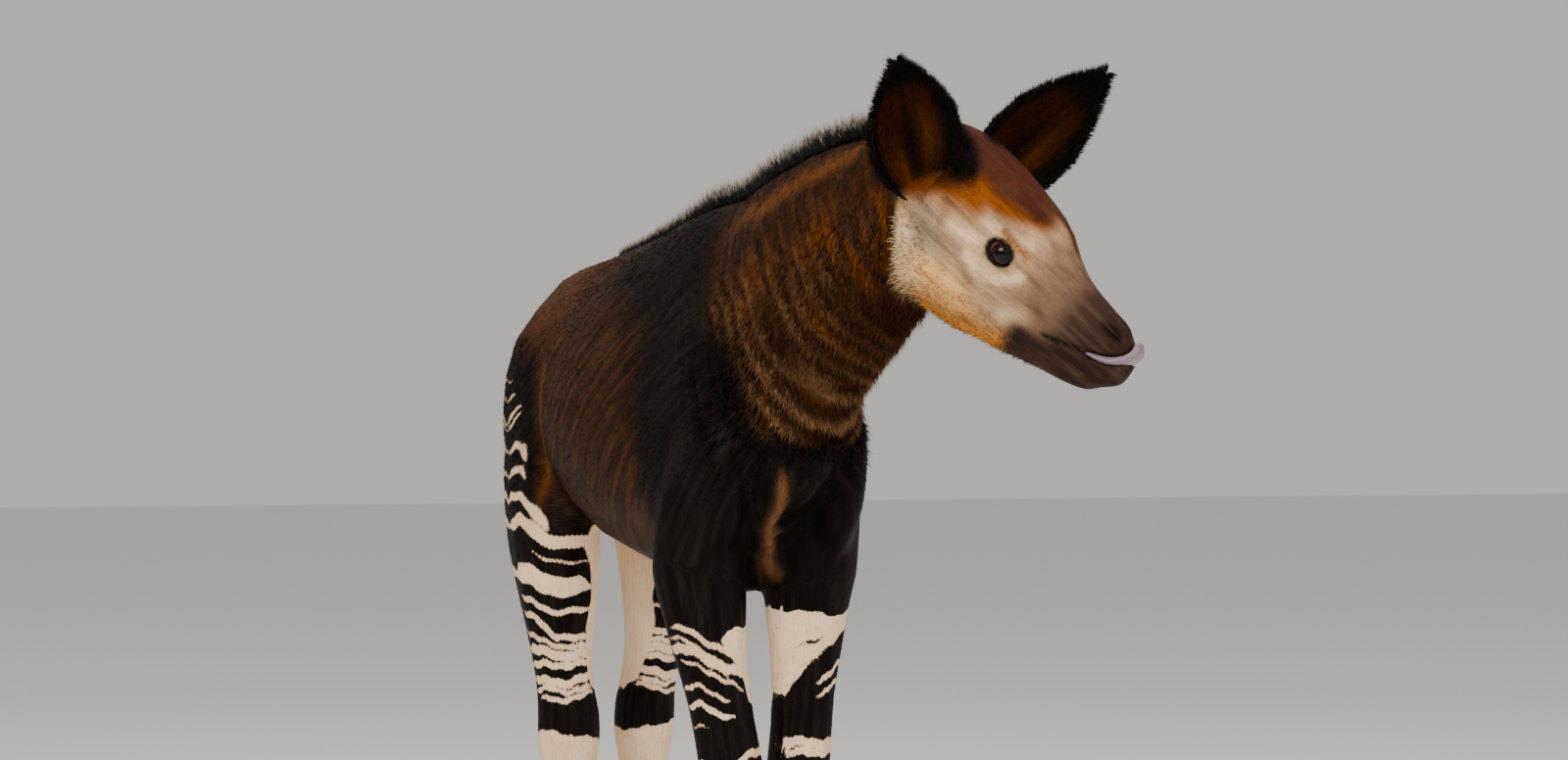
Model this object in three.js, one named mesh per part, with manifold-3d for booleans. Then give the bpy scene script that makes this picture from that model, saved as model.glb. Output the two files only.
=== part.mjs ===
// A young okapi, life size, standing with its head turned to its left, in millimetres.
// The calf faces -Y, its left side is +X, and +Z is up. Its hooves stand on z = 0.
import * as THREE from "three";
import { mergeVertices } from "three/addons/utils/BufferGeometryUtils.js";
import Module from "manifold-3d";

const wasm = await Module();
wasm.setup();

// Driving sizes
const bodyToFrame = [-92.8, 133.3, 0]; // from the midpoint between the feet to the middle of the bounding box
const seam = 0.3; // gap between touching pieces
const chestHalf = 128; // half width at the shoulders
const barrelHalf = 146; // half width at the ribs
const hipHalf = 122; // half width at the haunches
const headHeading = 40.6; // degrees that the head looks to the left of straight ahead
const headPitch = 41.7; // degrees that the face points down
const eyeRadius = 21;
const earWall = 5;

const rad = THREE.MathUtils.degToRad;
const vec = (x, y, z) => new THREE.Vector3(x, y, z);

// Solids
function solidOf(geometry, matrix) {
  let plain = geometry.index ? geometry.toNonIndexed() : geometry.clone();
  plain = new THREE.BufferGeometry().setAttribute("position", plain.getAttribute("position"));
  if (matrix) plain.applyMatrix4(matrix);
  const merged = mergeVertices(plain, 1e-3);
  return new wasm.Manifold(
    new wasm.Mesh({
      numProp: 3,
      vertProperties: merged.attributes.position.array,
      triVerts: new Uint32Array(merged.index.array),
    }),
  );
}

function meshOf(name, solid, material) {
  const data = solid.getMesh();
  const positions = new Float32Array(data.numVert * 3);
  for (let i = 0; i < data.numVert; i++)
    positions.set(data.vertProperties.subarray(i * data.numProp, i * data.numProp + 3), i * 3);
  const geometry = new THREE.BufferGeometry();
  geometry.setAttribute("position", new THREE.BufferAttribute(positions, 3));
  geometry.setIndex(new THREE.BufferAttribute(new Uint32Array(data.triVerts), 1));
  geometry.computeVertexNormals();
  const mesh = new THREE.Mesh(geometry, material);
  mesh.name = name;
  return mesh;
}

const joined = (...solids) => wasm.Manifold.union(solids.flat());

// Only the largest closed surface of a solid, without needless edges: a fused hollow is filled and a loose scrap dropped.
function largestBody(solid) {
  const bodies = solid.decompose();
  return bodies.reduce((best, body) => (body.volume() > best.volume() ? body : best)).simplify(0.08);
}

// Value of a smooth curve through evenly spaced numbers at t, from 0 to the last index.
function smooth(values, t) {
  const last = values.length - 1;
  const i = Math.min(last - 1, Math.floor(t));
  const f = t - i;
  const at = (k) => values[Math.max(0, Math.min(last, k))];
  const slope = (k) => (at(k + 1) - at(k - 1)) / 2;
  const [a, b, p, q] = [at(i), at(i + 1), slope(i), slope(i + 1)];
  const f2 = f * f;
  const f3 = f2 * f;
  return a * (2 * f3 - 3 * f2 + 1) + p * (f3 - 2 * f2 + f) + b * (3 * f2 - 2 * f3) + q * (f3 - f2);
}

// The section of a row of stations at t: its centre, its axes and its sizes
function sections(stations, side) {
  const last = stations.length - 1;
  const line = new THREE.CatmullRomCurve3(
    stations.map((s) => vec(...s.at)),
    false,
    "catmullrom",
    0.5,
  );
  const missing = { square: 2, narrow: 0, turn: 0 };
  return (t) => {
    const size = (key) => smooth(stations.map((s) => s[key] ?? missing[key]), t);
    const tangent = line.getTangent(t / last);
    const across = side.clone().applyAxisAngle(vec(0, 0, 1), rad(size("turn")));
    across.addScaledVector(tangent, -across.dot(tangent)).normalize();
    return { point: line.getPoint(t / last), tangent, across, upward: tangent.clone().cross(across), size };
  };
}

// A closed body through stations along a curve. A station has its centre (at), half width (wide),
// reach towards the upper side (up) and the lower side (down), and may have its corners squared
// (square, 2 is an ellipse), its upper half narrowed (narrow) and its own sideways direction (turn).
function loft(stations, { rings = 24, sides = 24, side = vec(1, 0, 0), cap = 0.5 } = {}) {
  const last = stations.length - 1;
  const sectionAt = sections(stations, side);
  const ringAt = (t, scale, offset) => {
    const { point, tangent, across, upward, size } = sectionAt(t);
    const centre = point.addScaledVector(tangent, offset);
    const power = 2 / size("square");
    const ring = [];
    for (let k = 0; k < sides; k++) {
      const angle = (2 * Math.PI * k) / sides;
      const [c, s] = [Math.cos(angle), Math.sin(angle)];
      const u = Math.sign(c) * Math.abs(c) ** power;
      const v = Math.sign(s) * Math.abs(s) ** power;
      const reach = s > 0 ? size("up") : size("down");
      ring.push(
        centre
          .clone()
          .addScaledVector(across, u * size("wide") * (1 - size("narrow") * v) * scale)
          .addScaledVector(upward, v * reach * scale),
      );
    }
    return ring;
  };
  const endDepth = (t) => cap * Math.min(...["wide", "up", "down"].map(sectionAt(t).size));
  const rows = [];
  rows.push(ringAt(0, 0.72, -endDepth(0) * 0.7));
  for (let i = 0; i <= rings; i++) rows.push(ringAt((i * last) / rings, 1, 0));
  rows.push(ringAt(last, 0.72, endDepth(last) * 0.7));
  const [first, final] = [sectionAt(0), sectionAt(last)];
  const start = first.point.addScaledVector(first.tangent, -endDepth(0));
  const end = final.point.addScaledVector(final.tangent, endDepth(last));
  const points = [start, ...rows.flat(), end];
  const faces = [];
  for (let k = 0; k < sides; k++) {
    const next = (k + 1) % sides;
    faces.push(0, 1 + k, 1 + next);
    for (let i = 0; i + 1 < rows.length; i++) {
      const [a, b] = [1 + i * sides + k, 1 + i * sides + next];
      faces.push(a, a + sides, b + sides, a, b + sides, b);
    }
    const base = 1 + (rows.length - 1) * sides;
    faces.push(base + k, points.length - 1, base + next);
  }
  const geometry = new THREE.BufferGeometry().setFromPoints(points);
  geometry.setIndex(faces);
  const made = solidOf(geometry);
  if (made.volume() > 0) return made;
  for (let i = 0; i < faces.length; i += 3) [faces[i + 1], faces[i + 2]] = [faces[i + 2], faces[i + 1]];
  geometry.setIndex(faces);
  return solidOf(geometry);
}

// A ball stretched to half sizes along its own axes, turned by degrees about X, Y and Z.
function bulge(at, half, turn = [0, 0, 0], detail = 14) {
  const matrix = new THREE.Matrix4().compose(
    vec(...at),
    new THREE.Quaternion().setFromEuler(new THREE.Euler(...turn.map(rad), "ZYX")),
    vec(...half),
  );
  return solidOf(new THREE.SphereGeometry(1, detail, Math.round(detail * 0.7)), matrix);
}

// A flat tapered lock that bends as it goes: from a root, through a direction, drooping by a vector
function lock(root, direction, flat, { length, wide, thick, droop }) {
  const rows = [
    { t: 0, size: 0.8 },
    { t: 0.35, size: 1 },
    { t: 0.7, size: 0.72 },
  ];
  const along = direction.clone().normalize();
  const across = flat.clone().addScaledVector(along, -flat.dot(along)).normalize();
  const through = along.clone().cross(across);
  const centre = (t) => root.clone().addScaledVector(along, t * length).addScaledVector(droop, t * t);
  const points = [centre(-0.06), ...rows.flatMap(({ t, size }) => {
    const c = centre(t);
    return [
      c.clone().addScaledVector(across, (wide / 2) * size),
      c.clone().addScaledVector(through, (thick / 2) * size),
      c.clone().addScaledVector(across, (-wide / 2) * size),
      c.clone().addScaledVector(through, (-thick / 2) * size),
    ];
  }), centre(1)];
  const faces = [];
  for (let k = 0; k < 4; k++) {
    const next = (k + 1) % 4;
    faces.push(0, 1 + next, 1 + k);
    for (const i of [1, 5]) faces.push(i + k, i + next, i + 4 + next, i + k, i + 4 + next, i + 4 + k);
    faces.push(9 + k, 9 + next, 13);
  }
  const geometry = new THREE.BufferGeometry().setFromPoints(points);
  geometry.setIndex(faces);
  return solidOf(geometry);
}

// The part of space beyond a plane, inside a box given by two corners. A piece of the body is what lies in it.
function zone({ point, direction, low, high }, grow = 0) {
  const along = vec(...direction).normalize();
  const size = 2000;
  const turned = new THREE.Matrix4().compose(
    vec(...point).addScaledVector(along, size / 2 - grow),
    new THREE.Quaternion().setFromUnitVectors(vec(0, 0, 1), along),
    vec(1, 1, 1),
  );
  const beyond = solidOf(new THREE.BoxGeometry(size, size, size), turned);
  const [a, b] = [vec(...low).addScalar(-grow), vec(...high).addScalar(grow)];
  const middle = a.clone().add(b).divideScalar(2);
  const span = b.clone().sub(a);
  const box = new THREE.BoxGeometry(span.x, span.y, span.z);
  return beyond.intersect(solidOf(box, new THREE.Matrix4().makeTranslation(middle)));
}

// Takes what lies in a zone off a body, and leaves the seam between the two.
function carve(body, cut) {
  return [largestBody(body.intersect(zone(cut))), largestBody(body.subtract(zone(cut, seam)))];
}

// Trunk: from the buttocks forward to the breast
const trunkStations = [
  { at: [0, 418, 880], wide: 62, up: 62, down: 100 },
  { at: [0, 372, 880], wide: 96, up: 116, down: 150 },
  { at: [0, 300, 875], wide: hipHalf, up: 153, down: 180, narrow: 0.05 },
  { at: [0, 200, 860], wide: hipHalf + 4, up: 179, down: 190, narrow: 0.1 },
  { at: [0, 90, 845], wide: barrelHalf - 6, up: 205, down: 202, narrow: 0.14 },
  { at: [0, -30, 835], wide: barrelHalf, up: 226, down: 214, narrow: 0.18 },
  { at: [0, -140, 835], wide: barrelHalf - 10, up: 246, down: 224, narrow: 0.26 },
  { at: [0, -230, 835], wide: chestHalf - 4, up: 250, down: 238, narrow: 0.3 },
  { at: [0, -310, 826], wide: chestHalf - 14, up: 200, down: 228, narrow: 0.16 },
  { at: [0, -375, 798], wide: 88, up: 140, down: 168 },
  { at: [0, -408, 778], wide: 58, up: 90, down: 98 },
];
const trunk = loft(trunkStations, { rings: 20, sides: 24 });

// Muscles that stand out of the trunk, on each side
function muscles(s) {
  return [
    bulge([s * 66, -236, 836], [42, 80, 126], [-14, s * 9, 0], 12),
    bulge([s * 80, -296, 735], [42, 92, 122], [22, s * 2, 0], 14),
    bulge([s * 79, 292, 806], [56, 118, 160], [8, s * 3, 0], 14),
  ];
}

// Neck: from inside the chest to inside the skull
const neckStations = [
  { at: [0, -200, 890], wide: 100, up: 185, down: 190, narrow: 0.34 },
  { at: [6, -290, 930], wide: 98, up: 168, down: 172, narrow: 0.38 },
  { at: [26, -372, 980], wide: 88, up: 148, down: 150, narrow: 0.38, turn: 12 },
  { at: [60, -438, 1028], wide: 78, up: 124, down: 130, narrow: 0.34, turn: 24 },
  { at: [92, -488, 1060], wide: 68, up: 100, down: 106, narrow: 0.24, turn: 34 },
  { at: [112, -516, 1068], wide: 56, up: 76, down: 84, narrow: 0.12, turn: 40 },
];
const neckSolid = loft(neckStations, { rings: 18, sides: 22, cap: 0.15 });

// Head frame: forward towards the nose, upward to the forehead, and left
const poll = vec(117, -544, 1166);
const heading = vec(Math.sin(rad(headHeading)), -Math.cos(rad(headHeading)), 0);
const faceForward = heading.clone().multiplyScalar(Math.cos(rad(headPitch))).setZ(-Math.sin(rad(headPitch)));
const faceUp = heading.clone().multiplyScalar(Math.sin(rad(headPitch))).setZ(Math.cos(rad(headPitch)));
const faceLeft = vec(Math.cos(rad(headHeading)), Math.sin(rad(headHeading)), 0);

function onHead(forward, up, left) {
  return poll
    .clone()
    .addScaledVector(faceForward, forward)
    .addScaledVector(faceUp, up)
    .addScaledVector(faceLeft, left)
    .toArray();
}

const headTurn = new THREE.Matrix4().makeBasis(faceLeft, faceForward.clone().negate(), faceUp);

// A ball in the head frame: half sizes across, along and up, turned by degrees in that frame
function headBulge(at, half, turn = [0, 0, 0], detail = 14) {
  const spin = new THREE.Matrix4().makeRotationFromEuler(new THREE.Euler(...turn.map(rad), "ZYX"));
  const matrix = new THREE.Matrix4().makeTranslation(...onHead(...at)).multiply(headTurn).multiply(spin);
  return solidOf(
    new THREE.SphereGeometry(1, detail, Math.round(detail * 0.7)),
    matrix.scale(vec(...half)),
  );
}

// Skull and muzzle: each row is the distance from the poll, the top, the bottom and the half width
const headRows = [
  { f: -22, top: 0, bottom: -112, wide: 46 },
  { f: 12, top: 14, bottom: -140, wide: 55 },
  { f: 62, top: 30, bottom: -160, wide: 62, narrow: 0.04 },
  { f: 110, top: 31, bottom: -171, wide: 64, narrow: 0.02 },
  { f: 160, top: 26, bottom: -171, wide: 61, narrow: 0.02 },
  { f: 200, top: 19, bottom: -164, wide: 54, narrow: 0.02 },
  { f: 240, top: 0, bottom: -151, wide: 46, narrow: 0.06 },
  { f: 280, top: -14, bottom: -136, wide: 40, narrow: 0.08 },
  { f: 322, top: -19, bottom: -124, wide: 36, narrow: 0.04 },
  { f: 350, top: -21, bottom: -111, wide: 34 },
  { f: 368, top: -32, bottom: -94, wide: 27 },
];
const headStations = headRows.map(({ f, top, bottom, wide, narrow = 0 }) => ({
  at: onHead(f, (top + bottom) / 2, 0),
  wide,
  narrow,
  up: (top - bottom) / 2,
  down: (top - bottom) / 2,
  square: 2.2,
}));
const headShell = loft(headStations, { rings: 26, sides: 24, side: faceLeft, cap: 0.6 });

// Eyes sit in sockets behind lids that stand a little proud of the ball
const eyeCentre = (s) => [188, -50, s * 42];
const eyeball = (s, grow) => headBulge(eyeCentre(s), [1, 1, 1].map(() => eyeRadius + grow), [0, 0, 90], 16);
const lids = (s) => headBulge([188, -49, s * 41], [eyeRadius + 4.5, eyeRadius + 6, eyeRadius + 4], [0, 0, 0], 16);
const lidOpening = (s) => headBulge([191, -50, s * 68], [15, 18.5, 14], [10, 0, s * -14], 16);
const brow = (s) => headBulge([176, -26, s * 40], [22, 34, 16], [0, 0, s * -6]);

// Mouth: a slit from the corner of the lips to the front, and the nostrils
const mouthPath = [
  [286, -90],
  [312, -81],
  [341, -70],
  [366, -56],
  [400, -40],
];
const mouthSlit = loft(
  mouthPath.map(([f, u]) => ({ at: onHead(f, u, 0), wide: 60, up: 1.6, down: 1.6, square: 6 })),
  { rings: 10, sides: 12, side: faceLeft, cap: 0.2 },
);
const nostril = (s) => headBulge([350, -32, s * 27], [7, 15, 3.4], [6, 0, s * -28], 12);
const lips = loft(
  [
    { at: onHead(280, -92, 0), wide: 37, up: 3.5, down: 3.5 },
    { at: onHead(312, -81, 0), wide: 37.5, up: 6, down: 6 },
    { at: onHead(341, -70, 0), wide: 36.5, up: 7, down: 7 },
    { at: onHead(360, -60, 0), wide: 33, up: 7, down: 8 },
    { at: onHead(374, -53, 0), wide: 25, up: 5, down: 7 },
  ].map((row) => ({ ...row, square: 2.4 })),
  { rings: 10, sides: 12, side: faceLeft, cap: 0.5 },
);
const headSolid = joined(headShell, lids(-1), lids(1), brow(-1), brow(1), lips);

// The tongue lies between the lips and curls up over the upper one
const tongueRows = [
  { f: 312, u: -80, wide: 22, thick: 3 },
  { f: 338, u: -72, wide: 35, thick: 5 },
  { f: 358, u: -65, wide: 34, thick: 7 },
  { f: 371, u: -54, wide: 27, thick: 7.5 },
  { f: 376, u: -41, wide: 20, thick: 6.5 },
  { f: 371, u: -30, wide: 11, thick: 4 },
];
const tongue = (grow) =>
  loft(
    tongueRows.map(({ f, u, wide, thick }) => ({
      at: onHead(f, u, 0),
      wide: wide + grow,
      up: thick + grow,
      down: thick + grow,
    })),
    { rings: 9, sides: 10, side: faceLeft, cap: 0.8 },
  );

// Legs: each row is the height, the place across and along, the half width and the reach to the front and back
function legLoft(rows, s, options = {}) {
  const stations = rows.map(({ z, x, y, wide, front, back }) => ({
    at: [s * x, y, z],
    wide,
    up: front,
    down: back,
  }));
  return loft(stations, { rings: 30, sides: 16, ...options });
}

// Rows whose place moves by [dx, dy] in full below one height, and not at all above another
function swing(rows, [dx, dy], low, high) {
  return rows.map((r) => {
    const part = Math.min(1, Math.max(0, (high - r.z) / (high - low)));
    return { ...r, x: r.x + dx * part, y: r.y + dy * part };
  });
}

const foreRows = [
  { z: 730, x: 80, y: -286, wide: 50, front: 64, back: 60 },
  { z: 640, x: 80, y: -280, wide: 61, front: 58, back: 58 },
  { z: 590, x: 78, y: -282, wide: 56, front: 52, back: 53 },
  { z: 540, x: 76, y: -285, wide: 48, front: 46, back: 46 },
  { z: 480, x: 70, y: -290, wide: 41, front: 39, back: 39 },
  { z: 425, x: 65, y: -294, wide: 40, front: 38, back: 36 },
  { z: 385, x: 61, y: -294, wide: 41, front: 41, back: 35 },
  { z: 345, x: 60, y: -291, wide: 36, front: 35, back: 33 },
  { z: 290, x: 60, y: -287, wide: 27, front: 26, back: 28 },
  { z: 200, x: 61, y: -283, wide: 24, front: 24, back: 27 },
  { z: 135, x: 62, y: -282, wide: 27, front: 26, back: 31 },
  { z: 105, x: 63, y: -285, wide: 28, front: 28, back: 31 },
  { z: 72, x: 64, y: -294, wide: 26, front: 27, back: 27 },
  { z: 40, x: 64, y: -304, wide: 27, front: 29, back: 27 },
];

const hindRows = [
  { z: 860, x: 74, y: 298, wide: 50, front: 88, back: 92 },
  { z: 760, x: 78, y: 294, wide: 57, front: 102, back: 114 },
  { z: 670, x: 82, y: 284, wide: 61, front: 94, back: 106 },
  { z: 590, x: 84, y: 282, wide: 54, front: 70, back: 82 },
  { z: 520, x: 83, y: 290, wide: 45, front: 50, back: 57 },
  { z: 460, x: 79, y: 303, wide: 39, front: 39, back: 47 },
  { z: 415, x: 75, y: 309, wide: 43, front: 43, back: 46 },
  { z: 375, x: 74, y: 311, wide: 43, front: 43, back: 40 },
  { z: 325, x: 72, y: 309, wide: 34, front: 34, back: 34 },
  { z: 240, x: 71, y: 307, wide: 27, front: 27, back: 29 },
  { z: 140, x: 70, y: 302, wide: 27, front: 27, back: 31 },
  { z: 105, x: 70, y: 299, wide: 28, front: 28, back: 31 },
  { z: 72, x: 70, y: 291, wide: 26, front: 27, back: 27 },
  { z: 40, x: 70, y: 282, wide: 27, front: 29, back: 27 },
];

// Hooves: two claws to a foot, flat underneath. A claw leans forward and is widest at the ground.
function claw([x, y], inward, grow = 0) {
  const stations = [
    { at: [x + inward * 0.5, y - 22, -14], wide: 15.5, up: 46, down: 30 },
    { at: [x, y - 20, 4], wide: 15.5, up: 38, down: 28 },
    { at: [x - inward * 0.5, y - 12, 28], wide: 15, up: 27, down: 26 },
    { at: [x - inward * 2, y - 4, 50], wide: 12.5, up: 19, down: 20 },
    { at: [x - inward * 3, y + 1, 60], wide: 9, up: 13, down: 14 },
  ].map((row) => ({ ...row, wide: row.wide + grow, up: row.up + grow, down: row.down + grow }));
  const ground = solidOf(new THREE.BoxGeometry(400, 400, 100), new THREE.Matrix4().makeTranslation(x, y, -50));
  return loft(stations, { rings: 5, sides: 10 }).subtract(ground);
}

const stances = [
  { name: "foreleg_right", s: -1, fore: true, shift: [-4, -36], over: [385, 640] },
  { name: "foreleg_left", s: 1, fore: true, shift: [-14, 4], over: [600, 720] },
  { name: "hindleg_right", s: -1, fore: false, shift: [2, -94], over: [420, 760] },
  { name: "hindleg_left", s: 1, fore: false, shift: [2, 27], over: [420, 760] },
];

function makeLimb({ name, s, fore, shift, over }) {
  const rows = swing(fore ? foreRows : hindRows, shift, ...over);
  const hock = rows.find((r) => r.z === 415);
  const foot = rows[rows.length - 1];
  const solids = [legLoft(rows, s, { rings: fore ? 22 : 24, sides: 12 })];
  if (hock) solids.push(bulge([s * hock.x, hock.y + 22, 430], [17, 24, 44], [-14, 0, 0], 12));
  const claws = (grow) => [1, -1].map((inward) => claw([s * (foot.x - inward * 16.5), foot.y], s * inward, grow));
  return { name, s, fore, foot, solid: joined(solids), claws };
}

const limbs = stances.map(makeLimb);

// Tail
const tailSolid = loft(
  [
    { at: [0, 380, 960], wide: 26, up: 20, down: 26 },
    { at: [0, 430, 930], wide: 22, up: 17, down: 20 },
    { at: [0, 452, 860], wide: 17, up: 13, down: 14 },
    { at: [0, 458, 760], wide: 13, up: 11, down: 11 },
    { at: [0, 462, 660], wide: 11, up: 10, down: 10 },
    { at: [0, 466, 590], wide: 15, up: 13, down: 13 },
    { at: [0, 468, 530], wide: 13, up: 11, down: 11 },
    { at: [0, 468, 480], wide: 6, up: 5, down: 5 },
  ],
  { rings: 24, sides: 10 },
);

// Tail tuft: locks that hang round the end of the tail
const tuft = Array.from({ length: 14 }, (_, i) => {
  const angle = i * 2.4;
  const ring = vec(Math.cos(angle), Math.sin(angle), 0);
  const root = vec(0, 466, 560 - (i % 4) * 16).addScaledVector(ring, 4);
  const size = { length: 104 + 9 * (i % 3), wide: 17, thick: 8, droop: ring.clone().multiplyScalar(-6) };
  return lock(root, vec(0, 0, -1).addScaledVector(ring, 0.16), vec(-ring.y, ring.x, 0), size);
});

// Mane: upright locks along the crest, tall on the neck and short over the back
function mane(stations, from, to, count, heights) {
  const sectionAt = sections(stations, vec(1, 0, 0));
  return Array.from({ length: count }, (_, i) => {
    const part = i / (count - 1);
    const { point, tangent, upward, size } = sectionAt(from + (to - from) * part);
    const crest = point.addScaledVector(upward, size("up") - 9);
    const height = heights[0] + (heights[1] - heights[0]) * part + 2 * (i % 3);
    const back = tangent.clone().multiplyScalar(4 * ((i % 2) - 0.5));
    return lock(crest, upward, tangent, { length: height + 9, wide: 26, thick: 9, droop: back });
  });
}
const neckMane = mane(neckStations, 0.75, 4.1, 20, [19, 22]);
const backMane = mane(trunkStations, 3.4, 6.9, 16, [9, 19]);

// Ears: a cupped leaf, from the base along its axis, opening towards a direction. Grown, it is the
// whole leaf without its cup, as room for the ear.
function ear({ base, reach, opening }, grow = 0) {
  const axis = reach.clone();
  const length = axis.length();
  axis.normalize();
  const facing = opening.clone().addScaledVector(axis, -opening.dot(axis)).normalize();
  const across = facing.clone().cross(axis);
  const shape = [
    { t: -0.14, wide: 20, deep: 18, lift: -10 },
    { t: 0.0, wide: 30, deep: 24, lift: -6 },
    { t: 0.14, wide: 47, deep: 31, lift: 0 },
    { t: 0.32, wide: 57, deep: 33, lift: 3 },
    { t: 0.52, wide: 56, deep: 30, lift: 3 },
    { t: 0.7, wide: 43, deep: 23, lift: 1 },
    { t: 0.86, wide: 25, deep: 14, lift: -1 },
    { t: 0.97, wide: 9, deep: 7, lift: -2 },
  ];
  const make = (less, raise, from) =>
    loft(
      shape.slice(from).map(({ t, wide, deep, lift }) => ({
        at: base
          .clone()
          .addScaledVector(axis, t * length)
          .addScaledVector(facing, lift + raise)
          .toArray(),
        wide: Math.max(2, wide - less),
        up: raise ? deep : Math.max(3, deep * 0.22) + grow,
        down: Math.max(2, deep - less),
      })),
      { rings: 10, sides: 12, side: across },
    );
  return grow ? make(-grow, 0, 0) : make(0, 0, 0).subtract(make(earWall, 2, 1));
}

const ears = {
  ear_right: { base: vec(...onHead(72, -56, -58)), reach: vec(-72, -72, 144), opening: vec(-0.2, -1, 0.1) },
  ear_left: { base: vec(...onHead(78, -50, 58)), reach: vec(154, -48, 150), opening: vec(0.1, -1, -0.2) },
};

// Whole flesh, then parted at the joints by thin cuts
const limbSolids = limbs.map((l) => l.solid);
const locks = joined(neckMane, backMane, tuft);
let flesh = joined(trunk, muscles(-1), muscles(1), neckSolid, headSolid, tailSolid, limbSolids, locks);
const pieces = {};

function part(name, cut) {
  [pieces[name], flesh] = carve(flesh, cut);
}

part("head", {
  point: onHead(-8, 5, 0),
  direction: heading.toArray(),
  low: [-100, -1100, 700],
  high: [700, -400, 1500],
});
part("neck", { point: [0, -335, 940], direction: [0.05, -0.8, 0.58], low: [-200, -800, 740], high: [300, -150, 1400] });
part("tail", { point: [0, 430, 925], direction: [0, 0.75, -0.66], low: [-60, 400, 300], high: [60, 700, 1000] });
[pieces.tail_tuft, pieces.tail] = carve(pieces.tail, {
  point: [0, 460, 585],
  direction: [0, 0, -1],
  low: [-60, 400, 300],
  high: [60, 700, 1000],
});
for (const { name, s, fore, foot } of limbs) {
  const x = [2, 240].map((v) => s * v);
  const [front, rear] = fore ? [-480, -120] : [60, 480];
  const corners = (z) => ({ low: [Math.min(...x), front, z[0]], high: [Math.max(...x), rear, z[1]] });
  part(name + "_upper", {
    point: fore ? [s * 92, 0, 625] : [s * 96, 0, 700],
    direction: [s * 0.32, 0, -0.95],
    ...corners([-20, 800]),
  });
  const upper = pieces[name + "_upper"];
  const knee = fore ? 385 : 400;
  const lower = { point: [0, 0, knee], direction: [0, 0, -1], ...corners([-20, 800]) };
  [pieces[name + "_lower"], pieces[name + "_upper"]] = carve(upper, lower);
  const pastern = { point: [0, foot.y, 95], direction: [0, -0.3, -0.95], ...corners([-20, 800]) };
  [pieces[name + "_foot"], pieces[name + "_lower"]] = carve(pieces[name + "_lower"], pastern);
}

const material = new THREE.MeshStandardMaterial({ color: 0x3a2418, roughness: 0.6, metalness: 0 });
const okapi = new THREE.Group();
okapi.position.set(...bodyToFrame);
const add = (name, solid) => okapi.add(meshOf(name, solid, material));

// The head gives way to the eyes, ears, mouth and tongue, and the neck to the ears
const earRoom = joined(Object.values(ears).map((shape) => ear(shape, seam)));
const openings = [lidOpening(-1), lidOpening(1), nostril(-1), nostril(1), mouthSlit];
const faceRoom = joined(openings, eyeball(-1, seam), eyeball(1, seam), tongue(seam));
pieces.head = largestBody(pieces.head.subtract(faceRoom).subtract(earRoom));
pieces.neck = largestBody(pieces.neck.subtract(earRoom));
add("tongue", tongue(0));
for (const [name, shape] of Object.entries(ears)) add(name, largestBody(ear(shape)));
for (const [side, s] of [["right", -1], ["left", 1]]) add("eye_" + side, eyeball(s, 0));
for (const { name, claws } of limbs) {
  const foot = pieces[name + "_foot"];
  pieces[name + "_foot"] = largestBody(foot.subtract(joined(claws(seam))));
  claws(0).forEach((solid, i) => add(name + (i ? "_claw_outer" : "_claw_inner"), solid));
}
add("torso", flesh);
for (const [name, solid] of Object.entries(pieces)) add(name, solid);

export default okapi;
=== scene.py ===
import math

import bpy
import numpy as np
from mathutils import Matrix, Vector
from mathutils.bvhtree import BVHTree


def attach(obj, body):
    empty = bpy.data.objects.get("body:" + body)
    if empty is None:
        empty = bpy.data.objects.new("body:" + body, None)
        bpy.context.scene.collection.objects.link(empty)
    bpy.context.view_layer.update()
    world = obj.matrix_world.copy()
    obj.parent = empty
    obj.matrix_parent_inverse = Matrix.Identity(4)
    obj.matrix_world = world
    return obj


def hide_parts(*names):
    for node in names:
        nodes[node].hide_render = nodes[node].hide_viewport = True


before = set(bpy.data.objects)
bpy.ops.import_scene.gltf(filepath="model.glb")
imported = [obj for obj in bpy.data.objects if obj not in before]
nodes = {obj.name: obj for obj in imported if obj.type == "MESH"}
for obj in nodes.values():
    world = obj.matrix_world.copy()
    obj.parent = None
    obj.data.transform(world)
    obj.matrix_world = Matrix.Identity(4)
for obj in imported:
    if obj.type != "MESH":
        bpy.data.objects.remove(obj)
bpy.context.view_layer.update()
rng = np.random.default_rng(11)
share = 1.0

# Shapes are worked out in millimetres from the midpoint between the feet: +x is the calf's left, -y ahead
bodyOrigin = np.array([-0.0928, 0.1333, 0.0])


def toBody(co):
    return (np.asarray(co, float) - bodyOrigin) * 1000


def toScene(co):
    return np.asarray(co, float) / 1000 + bodyOrigin


def unit(v):
    return v / np.maximum(np.linalg.norm(v, axis=-1, keepdims=True), 1e-9)


def ramp(x, low, high):
    t = np.clip((np.asarray(x, float) - low) / (high - low), 0, 1)
    return t * t * (3 - 2 * t)


def bump(x, middle, width):
    return np.exp(-(((np.asarray(x, float) - middle) / width) ** 2))


def mixed(a, b, t):
    return a + (b - a) * np.asarray(t)[:, None]


# Operators and modifiers
def deselectAll():
    for o in list(bpy.context.selected_objects):
        o.select_set(False)


def activate(obj):
    deselectAll()
    obj.select_set(True)
    bpy.context.view_layer.objects.active = obj


def applyModifier(obj, kind, **settings):
    activate(obj)
    modifier = obj.modifiers.new(kind.title(), kind)
    for key, value in settings.items():
        setattr(modifier, key, value)
    bpy.ops.object.modifier_apply(modifier=modifier.name)


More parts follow.
